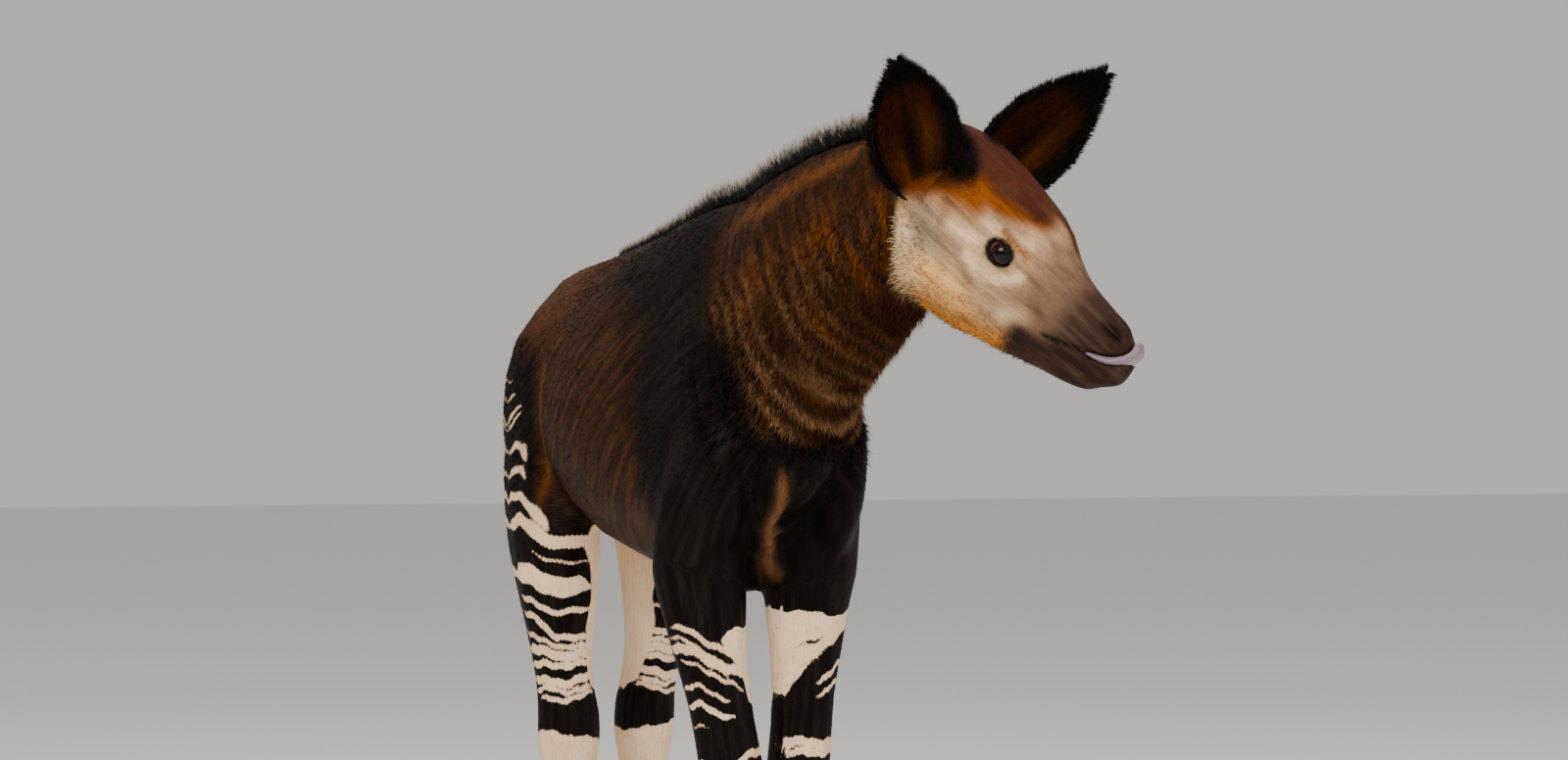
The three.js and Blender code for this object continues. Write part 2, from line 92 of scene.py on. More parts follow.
def copyOf(names, name):
    copies = []
    for n in names:
        o = nodes[n].copy()
        o.data = nodes[n].data.copy()
        o.parent = None
        bpy.context.scene.collection.objects.link(o)
        copies.append(o)
    deselectAll()
    for o in copies:
        o.select_set(True)
    bpy.context.view_layer.objects.active = copies[0]
    if len(copies) > 1:
        bpy.ops.object.join()
    made = bpy.context.view_layer.objects.active
    for key in list(made.keys()):
        del made[key]
    made.name = made.data.name = name
    made.data.materials.clear()
    bpy.ops.object.mode_set(mode="EDIT")
    bpy.ops.mesh.select_all(action="SELECT")
    bpy.ops.mesh.remove_doubles(threshold=0.00002)
    bpy.ops.object.mode_set(mode="OBJECT")
    return made


def vertsOf(obj):
    co = np.zeros(len(obj.data.vertices) * 3, np.float32)
    obj.data.vertices.foreach_get("co", co)
    return toBody(co.reshape(-1, 3))


def setVerts(obj, co):
    obj.data.vertices.foreach_set("co", toScene(co).astype(np.float32).ravel())
    obj.data.update()


def normalsOf(obj):
    n = np.zeros(len(obj.data.vertices) * 3, np.float32)
    obj.data.vertices.foreach_get("normal", n)
    return n.reshape(-1, 3).astype(float)


def setGroup(obj, name, weights):
    group = obj.vertex_groups.new(name=name)
    levels = np.round(np.clip(weights, 0, 1) * 10).astype(int)
    for level in range(1, 11):
        group.add(np.nonzero(levels == level)[0].tolist(), level / 10, "REPLACE")
    return name


# Shader maths written as expressions
class Value:
    def __init__(self, tree, socket):
        self.tree = tree
        self.socket = socket

    def maths(self, operation, *others, clamp=False):
        node = self.tree.nodes.new("ShaderNodeMath")
        node.operation = operation
        node.use_clamp = clamp
        for i, v in enumerate([self, *others]):
            if isinstance(v, Value):
                self.tree.links.new(v.socket, node.inputs[i])
            else:
                node.inputs[i].default_value = v
        return Value(self.tree, node.outputs[0])

    def __add__(self, v):
        return self.maths("ADD", v)

    __radd__ = __add__

    def __mul__(self, v):
        return self.maths("MULTIPLY", v)

    __rmul__ = __mul__

    def __sub__(self, v):
        return self.maths("SUBTRACT", v)

    def __rsub__(self, v):
        return (self * -1) + v

    def __truediv__(self, v):
        return self.maths("DIVIDE", v)

    def between(self, low, high):
        return ((self - low) / (high - low)).maths("MULTIPLY", 1.0, clamp=True)


class Finish:
    def __init__(self, name):
        self.material = bpy.data.materials.new(name)
        self.material.use_nodes = True
        self.tree = self.material.node_tree
        self.shader = self.tree.nodes["Principled BSDF"]

    def node(self, kind, settings=None, inputs=None, output=0):
        made = self.tree.nodes.new(kind)
        for key, value in (settings or {}).items():
            setattr(made, key, value)
        for key, value in (inputs or {}).items():
            self.feed(made.inputs[key], value)
        return Value(self.tree, made.outputs[output])

    def feed(self, socket, value):
        if isinstance(value, Value):
            self.tree.links.new(value.socket, socket)
        else:
            socket.default_value = value

    def attribute(self, name, output="Fac"):
        return self.node("ShaderNodeAttribute", {"attribute_name": name}, output=output)

    def noise(self, vector, scale, detail=3.0, roughness=0.55):
        inputs = {"Vector": vector, "Scale": scale, "Detail": detail, "Roughness": roughness}
        return self.node("ShaderNodeTexNoise", inputs=inputs, output="Fac")

    def mix(self, a, b, factor):
        made = self.tree.nodes.new("ShaderNodeMix")
        made.data_type = "RGBA"
        for socket, value in ((made.inputs[6], a), (made.inputs[7], b), (made.inputs[0], factor)):
            self.feed(socket, value)
        return Value(self.tree, made.outputs[2])

    def scaled(self, vector, factors):
        inputs = {0: vector, 1: factors}
        return self.node("ShaderNodeVectorMath", {"operation": "MULTIPLY"}, inputs)

    def relief(self, height, strength, distance):
        inputs = {"Height": height, "Strength": strength, "Distance": distance}
        return self.node("ShaderNodeBump", inputs=inputs, output="Normal")

    def set(self, **inputs):
        for key, value in inputs.items():
            self.feed(self.shader.inputs[key.replace("_", " ")], value)
        return self


# Where things are on the calf
headFrame = {"poll": (117, -544, 1166), "heading": 40.6, "pitch": 41.7}
heading = math.radians(headFrame["heading"])
pitch = math.radians(headFrame["pitch"])
ahead = np.array([math.sin(heading), -math.cos(heading), 0.0])
faceForward = ahead * math.cos(pitch) - np.array([0, 0, math.sin(pitch)])
faceUp = ahead * math.sin(pitch) + np.array([0, 0, math.cos(pitch)])
faceLeft = np.array([math.cos(heading), math.sin(heading), 0.0])
headAxes = np.array([faceForward, faceUp, faceLeft])
pollAt = np.array(headFrame["poll"], float)


def toHead(co):
    return (co - pollAt) @ headAxes.T


def fromHead(ful):
    return pollAt + np.asarray(ful, float) @ headAxes


eyes = {"forward": 188, "up": -50, "aside": 42, "radius": 21}
legs = {  # side, centre line from the top down as (z, x, y)
    "foreleg_right": (-1, [
        (730, -80, -286), (640, -80, -280), (590, -77, -289), (540, -74, -299), (480, -68, -313),
        (425, -62, -324), (385, -57, -330), (290, -56, -323), (135, -58, -318), (40, -60, -340)]),
    "foreleg_left": (1, [
        (730, 80, -286), (640, 71, -277), (590, 64, -278), (540, 62, -281), (480, 56, -286),
        (425, 51, -290), (385, 47, -290), (290, 46, -283), (135, 48, -278), (40, 50, -300)]),
    "hindleg_right": (-1, [
        (860, -74, 298), (760, -78, 294), (670, -83, 259), (590, -85, 235), (520, -84, 224),
        (460, -81, 220), (415, -77, 215), (325, -74, 215), (140, -72, 208), (40, -72, 188)]),
    "hindleg_left": (1, [
        (860, 74, 298), (760, 78, 294), (670, 83, 291), (590, 85, 295), (520, 84, 309),
        (460, 81, 327), (415, 77, 336), (325, 74, 336), (140, 72, 329), (40, 72, 309)]),
}
ears = {
    "ear_right": {"base": (83.7, -594.3, 1076.3), "reach": (-72, -72, 144), "opening": (-0.2, -1, 0.1)},
    "ear_left": {"base": (177.3, -525.2, 1076.8), "reach": (154, -48, 150), "opening": (0.1, -1, -0.2)},
}
earShape = [(-0.14, 20), (0, 30), (0.14, 47), (0.32, 57), (0.52, 56), (0.7, 43), (0.86, 25), (0.97, 9), (1.05, 3)]
neckAxis = np.array(
    [(0, -120, 850), (0, -200, 890), (6, -290, 930), (26, -372, 980), (60, -438, 1028), (92, -488, 1060), (112, -516, 1068)],
    float)
crestLine = np.array(
    [(0, 282, 1025), (0, 175, 1036), (0, 68, 1048), (0, -40, 1060), (0, -140, 1079), (4, -184, 1083), (6, -212, 1086), (7, -250, 1092),
     (10, -295, 1105), (19, -335, 1118), (34, -380, 1134), (51, -419, 1145), (70, -455, 1152), (94, -493, 1154), (112, -524, 1162)], float)


def alongLine(line, co, flat=False):
    # nearest place on a line of points: distance run along it, distance away, place and direction
    best = np.full(len(co), 1e9)
    run = np.zeros(len(co))
    place = np.zeros_like(co)
    direction = np.zeros_like(co)
    start = 0.0
    for a, b in zip(line[:-1], line[1:]):
        d = b - a
        length = np.linalg.norm(d)
        e = d.copy()
        if flat:
            e[2] = 0
        t = np.clip(((co - a) @ e) / (e @ e), 0, 1)
        p = a + t[:, None] * d
        gap = p - co
        if flat:
            gap[:, 2] = 0
        away = np.linalg.norm(gap, axis=1)
        near = away < best
        best[near] = away[near]
        run[near] = start + t[near] * length
        place[near] = p[near]
        direction[near] = d / length
        start += length
    return run, best, place, direction


def earPlace(co, shape):
    base = np.array(shape["base"], float)
    reach = np.array(shape["reach"], float)
    length = np.linalg.norm(reach)
    axis = reach / length
    facing = np.array(shape["opening"], float)
    facing = unit(facing - axis * (facing @ axis))
    across = np.cross(facing, axis)
    d = co - base
    t = d @ axis / length
    wide = np.interp(t, [r[0] for r in earShape], [r[1] for r in earShape])
    return t, d @ across / wide, d @ facing, axis, across, facing


# Skin: one closed surface in place of all the flesh
skinSizes = {"voxel": 0.003, "faces": 197000, "coatDepth": 1.2}
fleshNodes = ["torso", "neck", "head", "ear_right", "ear_left", "tail", "tail_tuft"]
for leg in legs:
    fleshNodes += [leg + "_upper", leg + "_lower", leg + "_foot"]

cadFlesh = copyOf(fleshNodes, "cadFlesh")
labelOf = []
triangles = []
points = []
for index, n in enumerate(fleshNodes):
    data = nodes[n].data
    offset = len(points)
    points += [v.co.copy() for v in data.vertices]
    for p in data.polygons:
        triangles.append([offset + i for i in p.vertices])
        labelOf.append(index)
fleshTree = BVHTree.FromPolygons(points, triangles)


def labelsAt(co):
    found = [fleshTree.find_nearest(Vector(p))[2] for p in toScene(co)]
    return np.array([labelOf[i] for i in found])


skin = cadFlesh
skin.name = skin.data.name = "skin"
applyModifier(skin, "REMESH", mode="VOXEL", voxel_size=skinSizes["voxel"], adaptivity=0.0)
print("skin remeshed", len(skin.data.vertices))


def flattenCrest(co):
    # the mane's locks stand on the crest in the solids: the skin stays under them
    _, away, place, _ = alongLine(crestLine, co, flat=True)
    behind = toHead(co)[:, 0] < 20
    roof = place[:, 2] - 3 - (away**2) * 0.006
    over = (away < 26) & (co[:, 2] > roof) & behind & (co[:, 1] > -530)
    co[over, 2] = roof[over]
    return co


def headness(co):
    return ramp(toHead(co) @ np.array([0.73, 0.686, 0]), -20, 25) * ramp(co[:, 2], 780, 830) * ramp(-co[:, 1], 380, 420)


def earness(co):
    out = np.zeros(len(co))
    for shape in ears.values():
        t, v, w, *_ = earPlace(co, shape)
        beside = (1 - ramp(np.abs(v), 1.3, 1.6)) * (1 - ramp(np.abs(w), 55, 75))
        out = np.maximum(out, ramp(t, -0.02, 0.1) * beside * (1 - ramp(t, 1.1, 1.2)))
    return out


co = flattenCrest(vertsOf(skin))
setVerts(skin, co)
inHead = headness(co)
inEar = earness(co)
inLeg = 1 - ramp(co[:, 2], 520, 680)
onTail = ramp(co[:, 1], 436, 446) * (1 - ramp(co[:, 2], 850, 930))
setGroup(skin, "flesh", np.clip(1 - inHead - inEar - 0.75 * inLeg - onTail, 0, 1))
setGroup(skin, "firm", np.clip(1 - inEar * 0.8 - inHead * 0.5, 0, 1))
for turn in range(7):
    applyModifier(skin, "SMOOTH", factor=0.7, iterations=14, vertex_group="flesh")
    applyModifier(skin, "SMOOTH", factor=-0.55, iterations=8, vertex_group="flesh")
applyModifier(skin, "SMOOTH", factor=0.5, iterations=6, vertex_group="firm")
inStripes = np.where(co[:, 1] < 0, 1 - ramp(co[:, 2], 575, 595), (co[:, 1] > 140) * (1 - ramp(co[:, 2], 870, 890)))
inStripes = inStripes * ramp(co[:, 2], 362, 378) * ramp(np.abs(co[:, 0]), 15, 30)
loose = (1 - inHead) * ramp(-co[:, 1], 190, 250) * ramp(co[:, 2], 560, 640)
setGroup(skin, "plain", np.clip(1 - inHead * 0.7 - inEar * 0.35 - 0.85 * inStripes - 0.45 * loose, 0.1, 1))
ratio = min(1, skinSizes["faces"] / (2 * len(skin.data.polygons)))
applyModifier(skin, "DECIMATE", ratio=ratio, vertex_group="plain", vertex_group_factor=1.7)
skin.vertex_groups.clear()
print("skin faces", len(skin.data.polygons))


# Folds of loose skin round the neck and the details of the face
folds = {"spacing": 21, "height": 7.5}


def neckPlace(co):
    run, away, place, direction = alongLine(neckAxis, co)
    side = np.cross(direction, [0, 0, 1.0])
    upward = np.cross(side, direction)
    out = co - place
    angle = np.degrees(np.arctan2(np.einsum("ij,ij->i", out, -unit(side)), np.einsum("ij,ij->i", out, -upward)))
    return run, angle, away  # angle is 0 under the throat and grows towards the right side


def foldPhase(run, angle):
    wobble = 9 * np.sin(np.radians(angle * 2.1 + 40)) + 5 * np.sin(np.radians(angle * 5.3)) + 0.16 * np.abs(angle)
    return (run + wobble) / folds["spacing"]


def foldRidge(run, angle):
    return np.abs(np.sin(math.pi * foldPhase(run, angle))) ** 6


lidSizes = {"level": 1.10, "upright": 0.66, "reach": (17, 38), "tilt": -20}


def closeLids(co):
    # the round sockets become almonds whose lids rest on the balls
    for side in (-1, 1):
        centre = fromHead((eyes["forward"], eyes["up"], side * eyes["aside"]))
        gaze = unit(faceLeft * side + faceForward * 0.22)
        level = unit(faceForward - gaze * (faceForward @ gaze))
        upward = unit(faceUp - gaze * (faceUp @ gaze) - level * (faceUp @ level))
        tilt = math.radians(lidSizes["tilt"])
        level, upward = level * math.cos(tilt) + upward * math.sin(tilt), upward * math.cos(tilt) - level * math.sin(tilt)
        d = co - centre
        a, b, g = d @ level, d @ upward, d @ gaze
        away = np.hypot(a, b)
        near = (away < lidSizes["reach"][1]) & (g > -2)
        t = 1 - ramp(away, *lidSizes["reach"])
        a2 = a * (1 + (lidSizes["level"] - 1) * t)
        b2 = b * (1 + (lidSizes["upright"] - 1) * t)
        over = np.sqrt(np.maximum((eyes["radius"] + 1.3) ** 2 - a2**2 - b2**2, 0))
        g2 = np.where(t > 0.02, np.maximum(g, over), g)
        moved = centre + a2[:, None] * level + b2[:, None] * upward + g2[:, None] * gaze
        co = np.where(near[:, None], moved, co)
    return co


def shapeSkin(obj):
    co = vertsOf(obj)
    normal = normalsOf(obj)
    head = headness(co)
    ear = earness(co)
    move = -skinSizes["coatDepth"] * (1 - 0.5 * head) * (1 - ear) * (1 - 0.4 * (1 - ramp(co[:, 2], 640, 740)))
    run, angle, away = neckPlace(co)
    onNeck = (1 - head) * (1 - ear) * ramp(run, 120, 190) * (1 - ramp(run, 400, 470)) * ramp(co[:, 2], 740, 800)
    phase = foldPhase(run, angle)
    crease = 1 - np.abs(np.sin(math.pi * phase))
    low = 1 - 0.85 * ramp(np.abs(angle), 45, 115)
    move = move + onNeck * low * folds["height"] * (0.45 - crease**1.5) * (0.7 + 0.3 * np.sin(phase * 2.3 + angle / 30))
    # brisket groove and the hollow behind the elbow
    across = co[:, 0] + 21 + (co[:, 2] - 735) * 0.298
    down = (co[:, 1] < -240) * ramp(co[:, 2], 606, 640) * (1 - ramp(co[:, 2], 725, 760))
    move = move + down * (2.5 * bump(across, 0, 6) - 3.5 * bump(np.abs(across), 15, 7))
    ful = toHead(co)
    mouth = np.array([(284, -91), (312, -81), (341, -71), (362, -62)], float)
    mouth3 = np.column_stack([mouth, np.zeros(4)])
    flatHead = ful.copy()
    flatHead[:, 2] = 0
    _, lip, _, _ = alongLine(mouth3, flatHead)
    move = move - head * 4.5 * np.exp(-((lip / 2.6) ** 2)) * (ful[:, 0] > 275)
    co += normal * move[:, None]
    setVerts(obj, closeLids(co))


shapeSkin(skin)
activate(skin)
bpy.ops.object.shade_smooth()
print("skin shaped")

# Colours of the coat, as linear values
tones = {
    "cream": (0.680, 0.490, 0.320),
    "black": (0.0028, 0.0020, 0.0018),
    "sooty": (0.010, 0.007, 0.006),
    "flank": (0.020, 0.0080, 0.0042),
    "rump": (0.060, 0.024, 0.011),
    "brown": (0.040, 0.0165, 0.0085),
    "chestnut": (0.110, 0.040, 0.012),
    "orange": (0.230, 0.080, 0.020),
    # painted highlight colour for the tops of the neck folds, also laid down the brisket ridge
    "foldHighlight": (0.270, 0.150, 0.085),
    # painted highlight colour for the ridge down the brisket
    "brisketHighlight": (0.125, 0.060, 0.034),
    "jaw": (0.410, 0.190, 0.070),
    "cheek": (0.640, 0.370, 0.180),
    "pale": (0.450, 0.300, 0.190),
    "grey": (0.215, 0.160, 0.112),
    "snout": (0.215, 0.135, 0.090),
    "white": (0.700, 0.560, 0.410),
    "crown": (0.050, 0.018, 0.011),
    "patch": (0.175, 0.055, 0.013),
    "bridge": (0.055, 0.024, 0.015),
    "muzzle": (0.034, 0.019, 0.014),
    "lip": (0.010, 0.006, 0.005),
    # painted shade colour for the dark line of the mouth opening
    "mouthSlitShade": (0.001, 0.001, 0.001),
    "earInner": (0.050, 0.015, 0.0045),
}
tones = {k: np.maximum(np.mean(v) + (np.array(v) - np.mean(v)) * 1.3, 0.0012) for k, v in tones.items()}

# White bands on the legs: half height in mm, then angle from the front towards the outer side and height
hindBands = [
    (1.5, [(107, 866), (87, 864)]),
    (1.9, [(107, 838), (72, 846)]),
    (1.9, [(107, 805), (82, 820), (54, 828)]),
    (1.5, [(107, 797), (69, 812), (55, 819)]),
    (3.7, [(104, 767), (75, 775), (55, 773), (47, 754)]),
    (3.3, [(107, 734), (71, 743), (58, 743), (50, 730)]),
    (4.1, [(107, 700), (88, 709), (62, 706), (40, 691), (26, 667)]),
    (6.3, [(107, 667), (69, 676), (50, 669), (35, 656), (16, 648), (-27, 650)]),
    (1.5, [(49, 633), (30, 626), (9, 622), (-15, 620)]),
    (10.4, [(107, 605), (68, 605), (31, 591), (-23, 587)]),
    (3.0, [(98, 576), (62, 566), (32, 555), (7, 557), (-34, 555)]),
    (3.3, [(101, 555), (60, 544), (34, 524), (-4, 520), (-38, 516)]),
    (2.6, [(107, 529), (61, 516), (21, 509), (-40, 507)]),
    (5.2, [(107, 505), (60, 501), (17, 496), (-42, 498)]),
    (3.7, [(107, 483), (53, 483), (14, 483), (-42, 486)]),
    (4.5, [(107, 464), (48, 460), (7, 460), (-53, 468)]),
    (2.6, [(107, 447), (50, 451), (5, 447), (-47, 455)]),
    (2.6, [(82, 438), (35, 436), (-5, 440), (-50, 449)]),
]
foreRightBands = [
    (4.7, [(107, 536), (76, 533), (46, 531), (23, 521), (-6, 509), (-40, 501)]),
    (2.7, [(84, 560), (48, 556), (23, 543), (5, 536), (-18, 526), (-46, 519)]),
    (1.7, [(96, 549), (60, 544), (34, 533), (8, 522)]),
    (1.8, [(80, 518), (48, 514), (20, 504), (-8, 492), (-34, 482)]),
    (2.0, [(103, 485), (50, 489), (24, 480), (0, 472)]),
    (3.0, [(98, 463), (56, 467), (27, 458), (-4, 451)]),
    (1.4, [(95, 440), (51, 440)]),
    (3.4, [(17, 394), (-10, 404), (-46, 411), (-90, 412)]),
    (3.4, [(107, 398), (40, 390), (0, 384), (-90, 384)]),
]
foreLeftBands = [
    (4.7, [(-35, 546), (-2, 553), (56, 568), (107, 566)]),
    (3.4, [(-32, 519), (-8, 529), (30, 553), (60, 561)]),
    (2.7, [(1, 489), (21, 497), (55, 511), (107, 508)]),
    (2.4, [(5, 472), (44, 487), (100, 484)]),
    (4.7, [(-107, 414), (-54, 418), (-18, 416), (53, 414), (107, 410)]),
    (3.4, [(-96, 401), (-20, 404), (51, 404), (107, 400)]),
]


def bandDistance(bands, angle, z):
    # how deep a place lies inside the nearest band, in mm; negative outside
    places = np.column_stack([angle * 0.62, z, np.zeros(len(z))])
    best = np.full(len(z), -60.0)
    for half, points in bands:
        line = np.array([(a * 0.62, h, 0) for a, h in points], float)
        run, away, _, _ = alongLine(line, places)
        total = np.linalg.norm(np.diff(line, axis=0), axis=1).sum()
        taper = np.clip(0.25 + np.minimum(run, total - run) / 16, 0, 1)
        best = np.maximum(best, half * 1.25 * taper - away)
    return best


def legAngle(leg, co):
    side, line = legs[leg]
    line = np.array(line, float)[::-1]
    outward = side * (co[:, 0] - np.interp(co[:, 2], line[:, 0], line[:, 1]))
    forward = np.interp(co[:, 2], line[:, 0], line[:, 2]) - co[:, 1]
    return np.degrees(np.arctan2(outward, forward))  # 0 in front, 90 on the outer side


innerEdges = {  # height, and the angle where the white of the inner side ends
    "foreleg_right": [(464, -100), (472, -47), (495, -39), (520, -16), (545, 2), (556, -14), (566, -100)],
    "foreleg_left": [
        (464, -110), (474, -60), (490, -38), (510, -14), (530, 16), (545, 40),
        (556, 70), (567, 70), (573, 10), (578, -60), (584, -110)],
    "hindleg": [(436, -90), (457, -45), (494, -28), (531, -24), (568, -30), (605, -24), (640, -10), (680, -22), (712, -55), (735, -110)],
}


darkLines = {  # thin dark lines across the white of the forelegs
    "foreleg_right": [(1.5, [(30, 541), (6, 527), (-20, 515)])],
    "foreleg_left": [(1.7, [(-34, 533), (0, 541), (26, 550)]), (1.8, [(-22, 510), (0, 519), (20, 534), (50, 545), (76, 548)])],
}


def whiteOn(leg, co):
    angle = legAngle(leg, co)
    z = co[:, 2] + 2.0 * np.sin(angle / 13) + 1.2 * np.sin(angle / 5.3 + co[:, 2] / 19) + 0.9 * np.sin(angle * 1.3 + co[:, 2] / 25)
    fore = leg.startswith("fore")
    edge = np.array(innerEdges[leg if fore else "hindleg"], float)
    inner = (np.interp(z, edge[:, 0], edge[:, 1], left=-200, right=-200) - angle) * 0.62
    inner = np.minimum(inner, (angle + 158) * 0.62)
    if fore:
        white = bandDistance(foreRightBands if leg.endswith("right") else foreLeftBands, angle, z)
        inner = np.minimum(inner, -bandDistance(darkLines[leg], angle, z))
        front = 13 - np.abs(angle) * 0.5 - 7 * ramp(z, 330, 372)
        below = np.minimum(374 - z, -front)
    else:
        behind = np.where(angle > 107, 107 - (angle - 107) * 0.4, angle)
        white = bandDistance(hindBands, behind, z)
        below = 394 - 10 * (1 - ramp(angle, -50, 60)) - z
    white = np.maximum(np.maximum(white, inner), below)
    return np.minimum(white, np.abs(z - 118) - 16)  # a dark band round the fetlock


def onHaunch(leg, name, co, front):
    # the part of the trunk above a hind leg
    return (name == "torso") & (np.sign(co[:, 0]) == legs[leg][0]) & (co[:, 1] > front) & leg.startswith("hind")


def whiteAt(co, label):
    white = np.full(len(co), -60.0)
    name = np.array(fleshNodes)[label]
    for leg in legs:
        haunch = onHaunch(leg, name, co, np.where(co[:, 2] < 720, 150, 215)) & (co[:, 2] < 900)
        at = np.nonzero(np.char.startswith(name, leg) | haunch)[0]
        if len(at):
            white[at] = whiteOn(leg, co[at])
    return white


def stroke(places, points, width):
    line = np.array([(a, b, 0) for a, b in points], float)
    _, away, _, _ = alongLine(line, np.column_stack([places[:, :2], np.zeros(len(places))]))
    return np.exp(-((away / width) ** 2))


def faceMask(ful):
    f, u, l = ful.T
    return ramp(f + 0.63 * u, -12, 3) * ramp(u, -186, -170) * ramp(f, 30, 50) * (1 - ramp(np.abs(l), 78, 92))


def faceTone(ful):
    f, u, l = ful[:, 0], ful[:, 1], np.abs(ful[:, 2])
    n = len(f)
    tone = np.tile(tones["pale"], (n, 1))
    layers = [
        ("snout", ramp(f, 190, 245) * 0.95),
        ("grey", stroke(ful, [(60, -60), (84, -78), (108, -104)], 19) * 0.95),
        ("grey", stroke(ful, [(118, -84), (142, -112)], 13) * 0.6),
        ("snout", stroke(ful, [(100, -50), (115, -74), (158, -84), (179, -100)], 10) * 0.8),
        ("snout", stroke(ful, [(208, -84), (238, -74), (252, -60)], 16) * 0.6),
        ("cream", stroke(ful, [(58, -100), (78, -128), (104, -148), (122, -132)], 15)),
        ("cream", stroke(ful, [(122, -66), (142, -62), (156, -58)], 7) * 0.8),
        ("cheek", stroke(ful, [(130, -128), (160, -124), (193, -130)], 17) * 0.95),
        ("jaw", stroke(ful, [(150, -166), (205, -150), (262, -134)], 19) * 0.95),
        ("snout", stroke(ful, [(196, -118), (230, -118)], 12) * 0.5),
        ("cream", stroke(ful, [(160, -78), (182, -84), (206, -78), (222, -58)], 7) * 0.9),
        ("cream", stroke(ful, [(236, -104), (252, -96)], 12) * 0.5),
        ("cream", stroke(ful, [(150, -36), (178, -28), (206, -26)], 8) * 0.75),
        ("bridge", stroke(ful, [(250, -62), (272, -80)], 9) * 0.35),
        ("patch", np.maximum(stroke(ful, [(45, -66), (80, -36), (128, -26)], 20), stroke(ful, [(120, -18), (176, -2), (198, 6)], 12))),
        ("patch", ramp(u - 0.10 * f, -40, -28) * (1 - ramp(f, 150, 200))),
        ("crown", ramp(u - 0.10 * f, -22, -4) * (1 - ramp(f, 165, 215))),
        ("crown", ramp(u, -8, 6) * (1 - ramp(f, 190, 225)) * ramp(f, 120, 150) * 0.9),
        ("bridge", stroke(ful, [(135, 3), (150, 10)], 8) * 0.8 * ramp(l, 25, 38)),
        ("bridge", (1 - ramp(l, 14 - 0.05 * f, 34 - 0.10 * f)) * ramp(f, 150, 178) * (1 - ramp(f, 235, 262)) * ramp(u, -30, -10)),
        ("patch", stroke(ful, [(178, -27), (196, -31), (212, -34)], 5.5) * ramp(l, 26, 38) * 0.85),
        ("muzzle", ramp(f + 0.12 * (u + 60), 225, 290) * 0.55),
        ("muzzle", ramp(f + 0.12 * (u + 60), 272, 304)),
        ("muzzle", ramp(-u, 92, 106) * ramp(f, 236, 262)),
        ("lip", ramp(f, 296, 340) * 0.6),
        ("lip", stroke(ful, [(262, -112), (300, -100), (340, -90)], 14) * 0.7),
        # painted shade: a near-black line along the mouth opening, over the carved lip groove
        ("mouthSlitShade", stroke(ful, [(284, -91), (312, -81), (341, -70), (364, -58)], 2.4)),
    ]
    for key, weight in layers:
        tone = mixed(tone, tones[key], np.clip(weight, 0, 1))
    side = np.sign(ful[:, 2:3])

    def gapTo(forward, up, aside, stretch):
        away = ful - np.array([forward, up, 0]) - side * np.array([0, 0, aside])
        return np.linalg.norm(away * np.array(stretch), axis=1)

    eyeGap = gapTo(eyes["forward"], eyes["up"], 60.0, (0.86, 1.05, 1))
    tone = mixed(tone, tones["lip"], 1 - ramp(eyeGap, 15.5, 20.0))
    # painted shade: a very dark spot where the nostril opening is
    nostril = gapTo(348, -33, 27.0, (0.5, 1.6, 1))
    return mixed(tone, tones["lip"] * 0.3, 1 - ramp(nostril, 8, 14))


